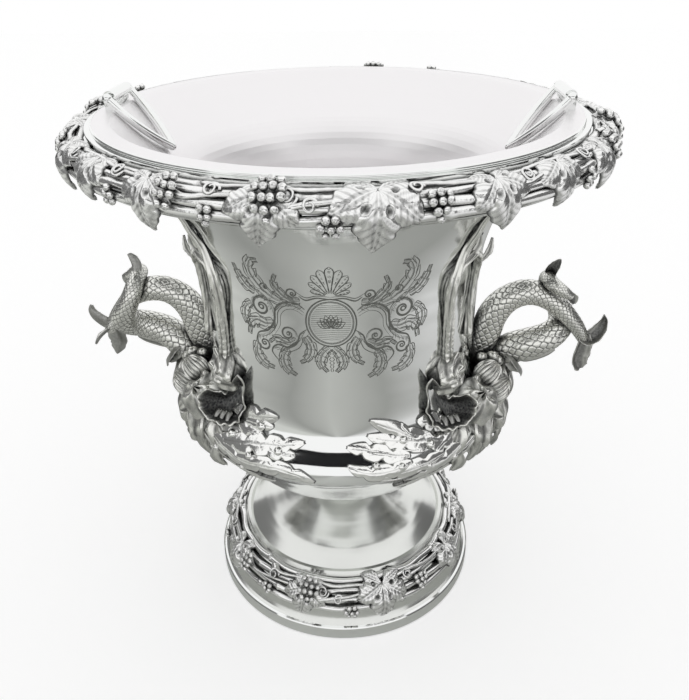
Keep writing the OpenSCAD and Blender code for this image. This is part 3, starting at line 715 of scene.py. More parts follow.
# %% Berries
def berry(radius, rings=11, sides=14):
    """A ball with its pole towards +Z, dimpled there."""
    polar = np.linspace(0, pi * 0.97, rings)[:, None]
    turn = np.linspace(0, tau, sides, endpoint=False)[None, :]
    dimple = np.exp(-((polar - 0.42) / 0.15) ** 2)
    r = radius * (1 - 0.07 * dimple)
    points = ball(r, polar, turn)
    # Painted shade: dark in the dimple and on the back half of the ball, which turns away to the canes.
    dark = np.broadcast_to(0.8 * dimple + np.clip((polar - 1.5) * 0.9, 0, 1), (rings, sides))
    return points, dark

def add_bunch(casting, place, rows, x, y, lift, radius, seed):
    """A bunch of berries: rows gives the number of berries in each row from the top down."""
    rnd = random.Random(seed)
    for row, number in enumerate(rows):
        for k in range(number):
            r = radius * rnd.uniform(0.86, 1.06)
            points, dark = berry(r)
            bx = x + (k - (number - 1) / 2 + rnd.uniform(-0.12, 0.12)) * 1.9 * radius
            by = y + (row + rnd.uniform(-0.1, 0.1)) * 1.66 * radius
            bz = lift + 0.75 * r + 0.5 * radius * (1 - abs(k - (number - 1) / 2) / max(number, 1)) \
                * (0.3 < row + 0.5 < len(rows) - 0.6)
            tip = Matrix.Rotation(rnd.uniform(-0.5, 0.5), 3, "X") \
                @ Matrix.Rotation(rnd.uniform(-0.5, 0.5), 3, "Y")
            corner = place(np.array([(bx, by, bz), (bx + MM, by, bz), (bx, by + MM, bz), (bx, by, bz + MM)]))
            local = unit(corner[1:] - corner[0])
            casting.add_tube(corner[0] + points @ np.array(tip).T @ local, dark)

# %% Canes and tendrils
def cane_rings(band, across, seed, count=540, n=10, thick=1.0):
    """One cane all round a band. across is its place down the band, from 0 to 1."""
    rnd = np.random.default_rng(seed)
    a = np.linspace(0, tau, count, endpoint=False)
    swell, wander, knot = np.ones(count), np.zeros(count), np.zeros(count)
    for _ in range(7):
        f, p = int(rnd.integers(3, 22)), rnd.uniform(0, tau)
        swell += 0.035 * np.sin(f * a + p)
        wander += 0.22 * MM * np.sin(f * a + 1.7 * p)
    for at in rnd.uniform(0, tau, 14):
        gap = (a - at + pi) % tau - pi
        knot += np.exp(-(gap / 0.011) ** 2)
    radius = band.cane * thick * swell * (1 + 0.22 * knot)
    turn = np.linspace(0, tau, n, endpoint=False)[None, :]
    down = band.length() * across + wander[:, None] + radius[:, None] * np.cos(turn)
    out = radius[:, None] * np.sin(turn) - band.cane
    flat = np.stack([np.zeros((count, n)), down, out], -1)
    # Painted shade on the inner side of each cane, between the canes and against the vase, and in thin rings
    # at the flanks of each knot.
    dark = np.clip(-out / band.cane * 0.9 - 0.45, 0, 1) + 0.5 * (np.abs(knot - 0.5) < 0.16)[:, None]
    return band.bend(flat, a[:, None]), np.clip(dark, 0, 1)

def shoot(casting, place, points, radius, seed=1):
    """A thin stem over the canes, through rows of x, y, z in millimetres."""
    line = smooth_line(points, 7) * MM
    taper = np.linspace(1.0, 0.55, len(line))
    knots = 1 + 0.18 * np.sin(np.arange(len(line)) * 1.1 + seed) ** 6
    rings = tube(line, radius * taper * knots, side=(0, 0, 1), n=8)
    # Painted shade on the side of the stem that faces the canes beneath it.
    casting.add_tube(place(rings), np.clip(0.6 - (rings[..., 2] - line[:, None, 2]) / radius * 0.7, 0, 0.8))

def tendril(casting, place, x, y, turns, radius, flip=1, wire=0.62 * MM, lift=1.4 * MM):
    """A wire that leaves a stem and winds into a curl."""
    t = np.linspace(0, 1, int(26 * turns))
    r = radius * (1.05 - 0.72 * t)
    a = flip * tau * turns * t
    line = np.stack([x + r * np.cos(a) - radius, y + r * np.sin(a),
                     lift + 0.9 * MM * np.sin(pi * t) + 1.1 * MM * t], -1)
    rings = tube(line, wire * (1.1 - 0.6 * t), side=(0, 0, 1), n=7)
    casting.add_tube(place(rings), 0.1)

# %% [markdown]
# ### One repeat of the border
# The founder had a pattern of about a hand's length: a big leaf with a few berries beside it, two
# smaller leaves, a leaf at the end of a shoot, and a leaf that carries a large bunch. The rim takes four
# repeats and the foot two. Angles are in degrees from the start of a repeat, as seen on the rim, and the
# foot stretches them to its own half turn.

# %% The pattern
# leaf model, angle, drop, size, lean and lift in millimetres and degrees
pattern_leaves = [(wide, 6, 4.2, 23.5, -6, 0.6), (long, 26, 4.4, 19.5, 9, 0.4),
                  (lopsided, 41, 3.6, 18.5, -3, 0.4), (long, 57, 5.0, 19, 6, 0.4),
                  (wide, 78.5, 6.0, 19.5, -8, 0.5)]
# rows of berries, angle, drop, radius, lift
pattern_bunches = [((2, 3, 2), -1.4, 13.5, 1.65, 1.2), ((3, 3, 2, 1), 15.5, 7.5, 1.6, 0.6),
                   ((2, 3, 3, 2), 62, 4.5, 1.6, 3.4), ((1, 2, 2), 48.5, 11.5, 1.5, 0.4),
                   ((3, 4, 4, 3, 1), 79.3, 2.2, 1.72, 4.0), ((2, 2, 1), 69, 12, 1.55, 0.3)]
pattern_tendrils = [(-6.4, 6.5, 1.7, 3.4, 1), (-3.2, 9.5, 1.3, 2.6, -1), (13.5, 4, 1.5, 2.7, -1),
                    (33.5, 5.5, 1.6, 2.6, 1), (50.5, 4.5, 1.9, 2.8, 1), (71, 5.5, 1.4, 3.0, -1)]
# shoots: points as angle, drop, height over the canes
pattern_shoots = [[(-12, 12, 0.6), (-8.5, 10.5, 1.6), (-5, 9, 1.8), (-1, 8, 1.4), (4, 5.5, 0.8)],
                  [(-10, 1.5, 0.3), (-5, 3.5, 1.3), (0, 3, 1.4), (5, 4, 0.8)],
                  [(8, 3, 0.6), (13, 2.2, 1.5), (18, 3.8, 1.6), (25, 4, 0.8)],
                  [(27, 4.5, 0.8), (31, 8.5, 1.6), (35, 7, 1.5), (40.5, 3.6, 0.8)],
                  [(32, 2, 0.4), (38, 1.2, 1.2), (46, 3.6, 1.4), (56, 5, 0.8)],
                  [(60, 6, 0.5), (65, 9, 1.6), (70, 7.4, 1.5), (77, 6, 0.8)],
                  [(64, 1, 0.3), (68, 3.6, 1.5), (73, 2.2, 1.3), (78, 5, 0.6)]]

def border(name, band, first, runs, scale, nodes):
    """Canes, leaves, berries and tendrils of one band, each as one casting."""
    stretch = 90 / (360 / runs)
    canes, leaves, bunches, wires = Casting(), Casting(), Casting(), Casting()
    for k in range(4):
        canes.add_ring(*cane_rings(band, 0.02 + k * 0.32, seed=17 * k + runs, thick=1.3))
    down = band.length() / rim_band.length() * 0.55 + 0.45
    for run in range(runs):
        start = first + run * 360 / runs
        for model, angle, drop, size, lean, lift in pattern_leaves:
            here = radians(start + (angle - 6) / stretch)
            model.onto(leaves, lambda p, a=here: band.bend(p, a), drop * down * MM, size * scale * MM,
                       radians(lean), lift * MM)
        for k, (rows, angle, drop, radius, lift) in enumerate(pattern_bunches):
            here = radians(start + (angle - 6) / stretch)
            add_bunch(bunches, lambda p, a=here: band.bend(p, a), rows, 0, drop * down * MM, lift * MM,
                      radius * scale ** 0.5 * MM, 10 * k + run)
        for angle, drop, turns, radius, flip in pattern_tendrils:
            here = radians(start + (angle - 6) / stretch)
            tendril(wires, lambda p, a=here: band.bend(p, a), 0, drop * down * MM, turns, radius * MM, flip)
        for k, route in enumerate(pattern_shoots):
            here = radians(start)
            reach = (band.mid_r + band.arc_r * 0.8) / MM
            line = [(radians((a - 6) / stretch) * reach, d * down, h) for a, d, h in route]
            shoot(wires, lambda p, a=here: band.bend(p, a), line, 1.15 * MM, k)
    canes.make(name + "_cane_bundle", border_silver, "vase", nodes + "_canes")
    leaves.make(name + "_leaf_castings", border_silver, "vase", nodes + "_leaves")
    bunches.make(name + "_berries", border_silver, "vase", nodes + "_grapes")
    wires.make(name + "_shoots_and_tendrils", border_silver, "vase", nodes + "_tendrils")

border("rim", rim_band, 9.6, 4, 1.0, "rim")
border("foot", foot_band, 20.6, 2, 0.95, "foot")

# %% [markdown]
# ## The dolphin handles
# Each handle is two dolphins of the old heraldic kind, scaled like carp, whose tails wind round each
# other. Their bodies are tubes that follow the same routes as the construction model. The scales are
# real relief: a lattice of staggered cells wraps round the tube, each cell puffs up in its middle and
# tips up towards the tail, and the groove between cells is marked as a hollow. A cell's length follows
# the tube's girth, so that the scales shrink with the tail just as they do on a fish.

# %% Scaled bodies
def scaled_tube(line, radius, around=12, sides=168, spacing=0.30 * MM, relief=0.13, smooth_to=0.0):
    """Rings with scales on a route. Returns the rings and how deep in a groove each point lies."""
    line, radius = np.asarray(line, float), np.asarray(radius, float)
    run = run_of(line)
    at = np.linspace(0, run[-1], int(run[-1] / spacing))
    line = np.stack([ironed(column, 6) for column in resampled(line, run, at).T], -1)
    radius = np.interp(at, run, radius)
    cell = tau * radius / around
    rows = np.concatenate([[0], np.cumsum(spacing / (0.62 * 0.5 * (cell[1:] + cell[:-1])))])[:, None]
    turn = np.linspace(0, around, sides, endpoint=False)[None, :]
    best, second = np.full((len(at), sides), 9.0), np.full((len(at), sides), 9.0)
    tip = np.zeros((len(at), sides))
    for step in (-2, -1, 0, 1, 2):
        row = np.floor(rows) + step
        middle = np.round(turn - 0.5 * (row % 2)) + 0.5 * (row % 2)
        along = (rows - row - 0.5) * 0.62
        for shift in (-1, 0, 1):
            away = turn - middle - shift
            far = np.sqrt(away ** 2 + along ** 2 + 0.25 * along * np.abs(away))
            closer = far < best
            second = np.where(closer, best, np.minimum(second, far))
            best = np.where(closer, far, best)
            tip = np.where(closer, along, tip)
    wall = np.clip((second - best) / 0.16, 0, 1)
    pillow = wall ** 0.5 * (1 - 0.55 * best ** 2)
    shape = pillow + 0.35 * tip * wall
    fade = np.clip((rows - smooth_to) / 3, 0, 1) * np.ones_like(shape)
    height = relief * cell[:, None] * shape * fade
    hollow = np.clip(1.5 - 1.9 * wall, 0, 1) * fade
    swell = 1 - relief * 0.5 * tau / around + height / radius[:, None]
    return tube(line, radius, side=(0, 1, 0), n=sides, swell=swell), hollow

def capped(rings, hollow, steps=5):
    """Rounds off the ends of a tube with a few shrinking rings."""
    def cap(ring, tangent, r):
        middle = ring.mean(0)
        return [middle + (ring - middle) * cos(k / steps * pi / 2) + tangent * r * sin(k / steps * pi / 2)
                for k in range(1, steps)]
    out, dark = [rings], [hollow]
    for end, inner, where in ((0, 1, 0), (-1, -2, 1)):
        middle = rings[end].mean(0)
        r = np.linalg.norm(rings[end] - middle, axis=1).mean()
        extra = cap(rings[end], unit(middle - rings[inner].mean(0)), r)[::1 if where else -1]
        out.insert(where * len(out), np.array(extra))
        dark.insert(where * len(dark), np.zeros((len(extra), hollow.shape[1])))
    return np.concatenate(out), np.concatenate(dark)

# %% [markdown]
# ### Routes of the dolphins
# Heights and radii of the routes hang on three places of the construction model: the shoulder, the top
# of the arch and the outer end. Rows are x, y, z and the radius there, in millimetres, for the right
# handle. The left handle is the same casting turned half round.

# %% Routes
arch_z = round(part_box("dolphin_right_upper")[1].z / MM - 4.4)
reach = 137.4
wall_r = 76.5
upper_route = [(wall_r + 1, 0, arch_z - 39, 7.0), (wall_r + 3.6, 0, arch_z - 33, 7.8),
               (82.6, 0, arch_z - 25, 8.3), (84.8, 0, arch_z - 15.5, 8.2), (88.8, 0, arch_z - 8, 7.8),
               (94.2, 0, arch_z - 3, 7.3), (100.5, 0, arch_z - 0.2, 7.1), (107, 0, arch_z, 6.8),
               (113.5, -1, arch_z - 2, 6.3), (120.5, -3, arch_z - 6.5, 5.5),
               (127, -4.4, arch_z - 12.9, 4.8), (132.8, -3.6, arch_z - 20, 4.1),
               (reach, -1.8, arch_z - 27.5, 3.3)]
lower_route = [(88.5, 0, arch_z - 58, 8.2), (89.6, 0, arch_z - 49, 8.6), (92.2, -0.5, arch_z - 41.5, 8.8),
               (97.3, -2.5, arch_z - 34.5, 8.8), (104.5, -4.8, arch_z - 30.2, 8.6),
               (112, -5, arch_z - 27.2, 8.2), (118.8, -3.2, arch_z - 24.5, 7.7),
               (124, 1.5, arch_z - 21.5, 7.1), (125, 6.8, arch_z - 16.3, 6.5),
               (122.2, 9.6, arch_z - 10.5, 6.0), (118.8, 10.4, arch_z - 4.8, 5.4),
               (116, 9.6, arch_z + 1.2, 4.9), (114.5, 6, arch_z + 6, 4.5),
               (113.8, 0.5, arch_z + 8.2, 4.2), (114.2, -4.8, arch_z + 8.4, 3.9),
               (116.8, -8.6, arch_z + 7.4, 3.6), (120.4, -10, arch_z + 5.4, 3.1),
               (123.4, -10, arch_z + 3.4, 2.4)]
print("arch at", arch_z, "mm")

# %% [markdown]
# ### Tails and fins
# A tail opens into two curled lobes like a split leaf, and a small fin stands out here and there. Both
# are thin blades with a hollow face and fine rays, so one function makes them: a middle line, a width
# along it, and a trough that curls the edges forward.

# %% Blades
def blade(casting, route, widths, face, trough=0.35, rays=9, thick=0.9 * MM, ragged=0.12, steps=6, cols=19,
          shade=0.0):
    """A fin or leaf along a route in millimetres, facing a direction, with rays and a curled edge."""
    line = smooth_line(route, steps) * MM
    t = np.linspace(0, 1, len(line))
    half = np.interp(t, np.linspace(0, 1, len(widths)), widths) * MM
    tangent = unit(np.gradient(line, axis=0))
    face = np.asarray(face, float)
    out = unit(face - (tangent @ face)[:, None] * tangent)
    side = np.cross(tangent, out)
    u = np.linspace(-1, 1, cols)[None, :]
    wave = np.cos(pi * rays * (0.5 + u / 2)) * 0.5 + 0.5
    edge = 1 + ragged * np.sin(5 * tau * t)[:, None] * np.abs(u) ** 3
    x = u * half[:, None] * edge
    z = trough * half[:, None] * u ** 2 - 0.10 * half[:, None] * wave * (1 - np.abs(u) ** 6)
    front = line[:, None] + x[..., None] * side[:, None] + z[..., None] * out[:, None]
    back = front - thick * out[:, None] * (1 - 0.6 * np.abs(u[..., None]) ** 2)
    # Dark between the rays, with real oxide and painted shade; the shade amount adds painted shade down the
    # middle of the hollow face.
    dark = np.maximum(0.75 * wave * (1 - u ** 8),
                      shade * np.clip(1.25 - u ** 2 * 1.6, 0, 1)) * np.ones((len(line), 1))
    casting.add_plate(front[:, ::-1], back[:, ::-1], np.clip(dark, 0, 1)[:, ::-1])

# %% The four dolphins
def turned(casting, right, make):
    """Models into a casting for the right handle, or the same turned half round for the left."""
    start = len(casting.points)
    make(casting)
    if not right:
        for k in range(start, len(casting.points)):
            casting.points[k] = casting.points[k] * (-1, -1, 1)

def upper_dolphin(casting):
    route = smooth_line(upper_route, 8) * MM
    rings, hollow = scaled_tube(route[:, :3], route[:, 3])
    casting.add_tube(*capped(rings, hollow))
    x, y, z = reach, -1.8, arch_z - 28
    blade(casting, [(x - 2, y - 1, z + 4), (x + 1.5, y - 2, z + 1), (x + 5, y - 2, z + 3),
                    (x + 8.3, y - 1, z + 7.5),
                    (x + 9.6, y - 0.5, z + 12), (x + 9.0, y - 1, z + 15.5)],
          (2.6, 3.6, 4.4, 3.8, 2.4, 0.7), (-0.4, -1, 0.7),
          trough=0.75, rays=3, thick=1.5 * MM, ragged=0.03, shade=0.9)
    blade(casting, [(x - 1, y - 1, z + 5), (x - 0.5, y - 2, z), (x - 1.2, y - 2.2, z - 6),
                    (x - 2, y - 2.5, z - 11),
                    (x - 0.8, y - 3, z - 15.5), (x + 0.6, y - 3, z - 18)],
          (2.4, 4.4, 5.0, 4.8, 4.2, 1.2),
          (0.3, -1, 0.2),
          trough=0.7, rays=3, thick=1.5 * MM, ragged=0.05, shade=0.8)
    blade(casting, [(x, y + 4, z + 2), (x + 4, y + 7, z - 1), (x + 7, y + 9, z - 5)], (2, 3.4, 0.8),
          (1, 0.3, 0.4), trough=0.4, rays=3)

def lower_dolphin(casting):
    route = smooth_line(lower_route, 8) * MM
    rings, hollow = scaled_tube(route[:, :3], route[:, 3], smooth_to=5)
    casting.add_tube(*capped(rings, hollow))
    blade(casting, [(114.8, 2, arch_z + 11), (115.2, 0, arch_z + 14.5), (116.6, -1.2, arch_z + 17.8),
                    (118, -1.6, arch_z + 20.5)],
          (2.8, 3.2, 2.6, 0.7), (-0.5, -1, 0.1), trough=0.7, rays=3, thick=1.3 * MM, ragged=0.03, shade=0.9)
    blade(casting, [(123, -10, arch_z + 3.6), (125.4, -10.2, arch_z + 1.2), (126.4, -10.3, arch_z - 1.6)],
          (2.2, 2.8, 0.8),
          (0.4, -1, 0.2), trough=0.6, rays=3, thick=1.3 * MM, ragged=0.03, shade=0.9)
    for flip in (1, -1):
        blade(casting, [(101, -4.8 - 3.2 * flip, arch_z - 38.6), (106, -4.8 - 3.6 * flip, arch_z - 39.2),
                        (112, -4.8 - 3.6 * flip, arch_z - 37.6),
                        (117, -4.4 - 3.4 * flip, arch_z - 35.6), (121.4, -4 - 3.4 * flip, arch_z - 32.4)],
              (2.4, 4.2, 4.2, 3.4, 0.8),
              (0.1, -0.8 * flip, -0.6), trough=-0.25, rays=3, thick=1.6 * MM, ragged=0.03)
        blade(casting, [(95, -1.5 - 6.5 * flip, arch_z - 36), (97, -2 - 8.6 * flip, arch_z - 37),
                        (99.5, -2 - 9.2 * flip, arch_z - 40),
                        (102, -2 - 8.8 * flip, arch_z - 43.6), (103, -2 - 7.4 * flip, arch_z - 46.4)],
              (2.8, 4.6, 4.8, 3.8, 0.9),
              (-0.7, -0.6 * flip, -0.25), trough=0.9, rays=3, thick=1.5 * MM, ragged=0.04, shade=1.0)

for side in ("right", "left"):
    for which, make in (("upper", upper_dolphin), ("lower", lower_dolphin)):
        casting = Casting()
        turned(casting, side == "right", make)
        filed_to_wall(casting)
        casting.make(f"{side}_{which}_dolphin", handle_silver, "vase", f"dolphin_{side}_{which}")

# %% [markdown]
# ## Roots, burls and dolphin heads
# Under each handle the two dolphins dive into a mass of leafage, and their heads look out to both sides
# between a gnarled burl, a ruffled flower and a few curled fins. The founder built that mass up from
# small waxes pressed together. So does this code: every lump is a ball that is pulled long, ribbed or
# wound into a swirl, and the blades from the tails serve again as fins and leaf tips. All of it is drawn
# for the right front corner and mirrored to the others.

# %% Lumps
def on_wall(azimuth, z, out):
    """The point at an azimuth and a height that is out millimetres from the axis."""
    a = radians(azimuth)
    return np.array([out * sin(a), -out * cos(a), z])

def lump(casting, centre, radii, pole, ribs=0, depth=0.12, swirl=0.0, knots=0.0, seed=0, rings=40, sides=72):
    """A ball with radii in millimetres, its pole towards a direction. Ribs run from the pole, and a
    swirl winds them round it. knots roughens it with soft bumps."""
    polar = np.linspace(0.0, pi, rings)[:, None]
    turn = np.linspace(0, tau, sides, endpoint=False)[None, :]
    rnd = np.random.default_rng(seed)
    up = unit(np.asarray(pole, float))
    side = unit(np.cross(up, (0.3, 0.2, 1.0) if abs(up[2]) < 0.8 else (1.0, 0.2, 0.1)))
    other = np.cross(up, side)
    r, dark = np.ones((rings, sides)), np.zeros((rings, sides))
    if ribs:
        wave = np.cos(ribs * (turn + swirl * polar))
        keep = np.clip(np.sin(polar) * 1.5, 0, 1)
        r = r + depth * keep * (0.5 * wave - 0.5 * (1 - np.abs(wave)) ** 2)
        dark = np.clip(-1.1 * wave - 0.15, 0, 1) * keep * 0.9
    for _ in range(6 if knots else 0):
        f, g, p, q = rnd.integers(2, 6), rnd.integers(2, 6), rnd.uniform(0, tau), rnd.uniform(0, tau)
        bump = np.sin(f * polar + p) * np.sin(g * turn + q)
        r = r + knots * 0.35 * bump
        dark = np.maximum(dark, np.clip(-bump - 0.55, 0, 1) * 1.3)
    points = np.asarray(centre) + ball(r, polar, turn, radii) @ np.stack([side, other, up])
    casting.add_tube(points * MM, dark)

def mirrored(casting, right, front, make):
    """Models a corner casting for the right front, then mirrors it to its own corner."""
    first_points, first_faces = len(casting.points), len(casting.faces)
    make(casting)
    flip = (1 if right else -1, 1 if front else -1, 1)
    for k in range(first_points, len(casting.points)):
        casting.points[k] = casting.points[k] * flip
    if right != front:
        for k in range(first_faces, len(casting.faces)):
            casting.faces[k] = casting.faces[k][:, ::-1]

# %% [markdown]
# ### Trunks
# A thin trunk grows from each burl and forks under the rim, where its shoots join the border. Bark is a
# tube whose outline is pinched into a few furrows that wander and twist as they climb, with a row of
# small scars like a palm's near the root.

# %% Bark
def bark(casting, route, furrows=5, twist=0.35, scars=0.0, least_shade=0.0, sides=56, spacing=0.5 * MM):
    """A gnarled stem along rows of x, y, z and radius in millimetres."""
    line = smooth_line(route, 8) * MM
    run = run_of(line[:, :3])
    at = np.linspace(0, run[-1], max(int(run[-1] / spacing), 8))
    line = resampled(line, run, at)
    middle, radius = line[:, :3], line[:, 3]
    s, turn = at[:, None] / MM, np.linspace(0, tau, sides, endpoint=False)[None, :]
    wind = furrows * (turn + twist * np.sin(s * 0.11) + 0.25 * np.sin(s * 0.047 + 1))
    wave = np.cos(wind) + 0.45 * np.cos(2 * wind + s * 0.21)
    cells = np.cos(tau * s / 3.1 + np.round(4 * turn / pi) * pi) * np.cos(4 * turn)
    fade = np.clip(1.6 - s / 22, 0, 1) * scars
    swell = 1 + 0.12 * wave + 0.07 * fade * cells + 0.04 * np.sin(s * 0.9 + 3 * turn)
    # Darker in the furrows and between the scars, with real oxide and painted shade.
    dark = np.clip(-0.75 * wave - 0.25, 0, 1) + np.clip(-cells - 0.4, 0, 1) * fade
    rings = tube(middle, radius, side=(1, 0, 0), n=sides, swell=swell)
    # The lowest darkness given is painted shade over a whole stem that lies in a shaded hollow, such as the
    # tongue in the mouth.
    casting.add_tube(*capped(rings, np.clip(dark, least_shade, 0.95)))

def wall_radius(z):
    """Largest radius of the vase within a few millimetres of a height, read from the construction model."""
    return float(np.interp(z, wall_heights, wall_radii))

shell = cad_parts["body_shell"].data
corners = np.empty(3 * len(shell.vertices))
shell.vertices.foreach_get("co", corners)
corners = corners.reshape(-1, 3) / MM
rounds = np.hypot(corners[:, 0], corners[:, 1])
steps = np.arange(70, 284, 1.5)
wall_radii = [rounds[np.abs(corners[:, 2] - z) < 4.5].max()
              if (np.abs(corners[:, 2] - z) < 4.5).any() else np.nan
              for z in steps]
known = ~np.isnan(wall_radii)
wall_heights, wall_radii = steps[known], np.array(wall_radii)[known]
print("waist radius", round(wall_radius(190), 1), "shoulder radius", round(wall_radius(127), 1))

def hugging(rows):
    """Rows of azimuth, height and radius as points that lie on the wall."""
    return [(*on_wall(a, z, wall_radius(z) + 0.75 * r), r) for a, z, r in rows]

trunk_rows = [(46.8, 172, 3.8), (47, 179, 2.9), (46.9, 188, 2.6), (46.5, 198, 2.6), (45.7, 207, 2.5),
              (44.9, 215, 2.8), (45.3, 222, 2.9), (47, 229, 2.4), (48.8, 237, 1.9), (50.2, 245, 1.6),
              (51.3, 254, 1.4), (52, 262, 1.3), (52.6, 269, 1.2)]
fork_rows = [(45.5, 224, 2.4), (48, 230, 2.6), (52, 233, 2.6), (56.5, 232, 2.4), (60.8, 227, 2.3),
             (63, 219, 2.0), (63, 210, 1.8), (62.4, 202, 1.8), (62, 194, 2.0), (61.5, 185, 2.4)]

def trunk(casting):
    bark(casting, hugging(trunk_rows), scars=1.0)
    bark(casting, hugging(fork_rows), furrows=4)
    for rows, face in (([(64, 224, 2.6), (66.5, 228.5, 3.6), (68.5, 234, 2.4)], (0.6, -0.8, 0.2)),
                       ([(51, 233, 2.2), (53.2, 237.5, 3.4), (53.6, 243, 2.0)], (0.5, -0.8, 0.2))):
        points = [tuple(on_wall(a, z, wall_radius(z) + out)) for a, z, out in rows]
        blade(casting, points, (0.9, 2.2, 0.5), face, rays=3)

# %% [markdown]
# ### The gaping mouth
# An heraldic dolphin has a wide ruffled mouth, here pierced like a withered flower, with one lip drawn up
# to a point. It is a bowl whose lip waves in and out, and the drawn-up lip is one tall bump of that
# wave. The inside is painted nearly black and the outside darker in the troughs of the ruffle: painted
# shade under the overhanging lip and in the pierced holes. A ridged tongue lies in it, painted darker too.

# %% Mouth
mouth_lip = [(0, 14, 2.5), (15, 13.8, 3.5), (30, 11.8, 4), (45, 9.6, 3), (62, 8, 1.5), (80, 6.8, 0),
             (96, 6.8, 0), (110, 9.4, 2), (117, 15, 6), (123, 24, 12), (130, 22.5, 11), (138, 19, 7),
             (148, 16.4, 4), (164, 14.5, 2), (182, 13.6, 1), (202, 12.8, 0), (225, 12.2, -1),
             (250, 11.2, -1), (270, 10.4, -0.5), (290, 10.6, 0), (312, 11.8, 0.5), (332, 13, 1.5)]
print("mouth lip", len(mouth_lip), "places: angle, reach and rise in degrees and millimetres")

def facing(azimuth, rise):
    """The direction that looks out at an azimuth and rises by an angle."""
    a, e = radians(azimuth), radians(rise)
    return np.array([sin(a) * cos(e), -cos(a) * cos(e), sin(e)])

def mouth(casting):
    rings, sides = 40, 190
    outward = facing(22, 30)
    side = unit(np.cross((0, 0, 1), outward))
    basis = np.stack([side, np.cross(outward, side), outward])
    t = np.linspace(0, 1, rings)[:, None]
    degrees_round = np.linspace(0, 360, sides, endpoint=False)
    turn = np.radians(degrees_round)[None, :]
    at, reach_there, rise_there = np.array(mouth_lip).T
    lip_r, lip_h = (np.interp(degrees_round, at, row, period=360)[None, :]
                    for row in (reach_there, rise_there))
    ruffle = np.sin(11 * turn + 0.8 * np.sin(3 * turn)) + 0.4 * np.sin(19 * turn + 1)
    r = 4.5 + (lip_r - 4.5) * (0.85 * t ** 0.6 + 0.15 * t ** 4) + 0.55 * t ** 3 * ruffle
    h = 10.5 * t - 11 + t ** 3 * (lip_h + 0.6 * np.cos(9 * turn + 0.6))
    holes = np.zeros_like(r)
    for at, far, wide, tall in ((126, 0.80, 4.0, 0.07), (128, 0.95, 2.2, 0.03), (137, 0.85, 3.5, 0.05),
                                (100, 0.86, 6, 0.05),
                                (75, 0.86, 5, 0.05), (32, 0.74, 10, 0.10), (12, 0.86, 6, 0.06),
                                (22, 0.93, 3, 0.03), (350, 0.78, 6, 0.07),
                                (160, 0.86, 7, 0.06), (190, 0.82, 8, 0.06), (236, 0.86, 6, 0.05)):
        gap = np.degrees((turn - radians(at) + pi) % tau - pi)
        holes = np.maximum(holes, np.exp(-(((gap / wide) ** 2 + ((t - far) / tall) ** 2)) ** 2))
    outer = np.stack([r * np.cos(turn), r * np.sin(turn), h * np.ones_like(r)], -1)
    wall = 1.2 - 0.3 * t
    inner = np.stack([(r - wall) * np.cos(turn), (r - wall) * np.sin(turn),
                      h + 0.2 * wall + 0.6 * (1 - t)], -1)
    lip = 0.5 * (outer[-1] + inner[-1]) + (0, 0, 0.35)
    points = np.concatenate([outer, [lip], inner[::-1]])
    # Painted shade: the outside is darker in the ruffle's troughs, and the inside and the pierced holes are
    # nearly black.
    inside = np.clip(1.30 - 2.2 * np.clip(t - 0.76, 0, 1), 0.45, 1) * np.ones_like(r)
    value = np.concatenate([np.maximum(0.35 + 0.4 * np.clip(-ruffle, 0, 1) * t, holes), np.zeros((1, sides)),
                            (np.maximum(inside, holes) * (1 - t ** 22))[::-1]])
    centre = np.array([59.5, -58.5, 151.5])
    casting.add_tube((points @ basis + centre) * MM, value)
    # The tongue's ridges are darkened all over: painted shade inside the mouth.
    for x, lean in ((-2.5, 0.0), (1.0, 0.1), (4.2, 0.25)):
        ridge = [centre + np.array([x + lean * k, -4.5 - 1.3 * k, -5.5 + 1.1 * k - 0.22 * k * k]) @ basis
                 for k in range(6)]
        bark(casting, [(*q, 1.5 - 0.13 * k) for k, q in enumerate(ridge)], furrows=2, least_shade=0.6)

# %% Burl, cheeks, fins and hanging leafage of one corner
def fan(casting, at, radii, pole, ribs, seed):
    """A frill of the gills: half a ball with fine ribs that spread from one side."""
    lump(casting, at, radii, pole, ribs=ribs, depth=0.09, swirl=0.10, seed=seed, rings=56, sides=160)

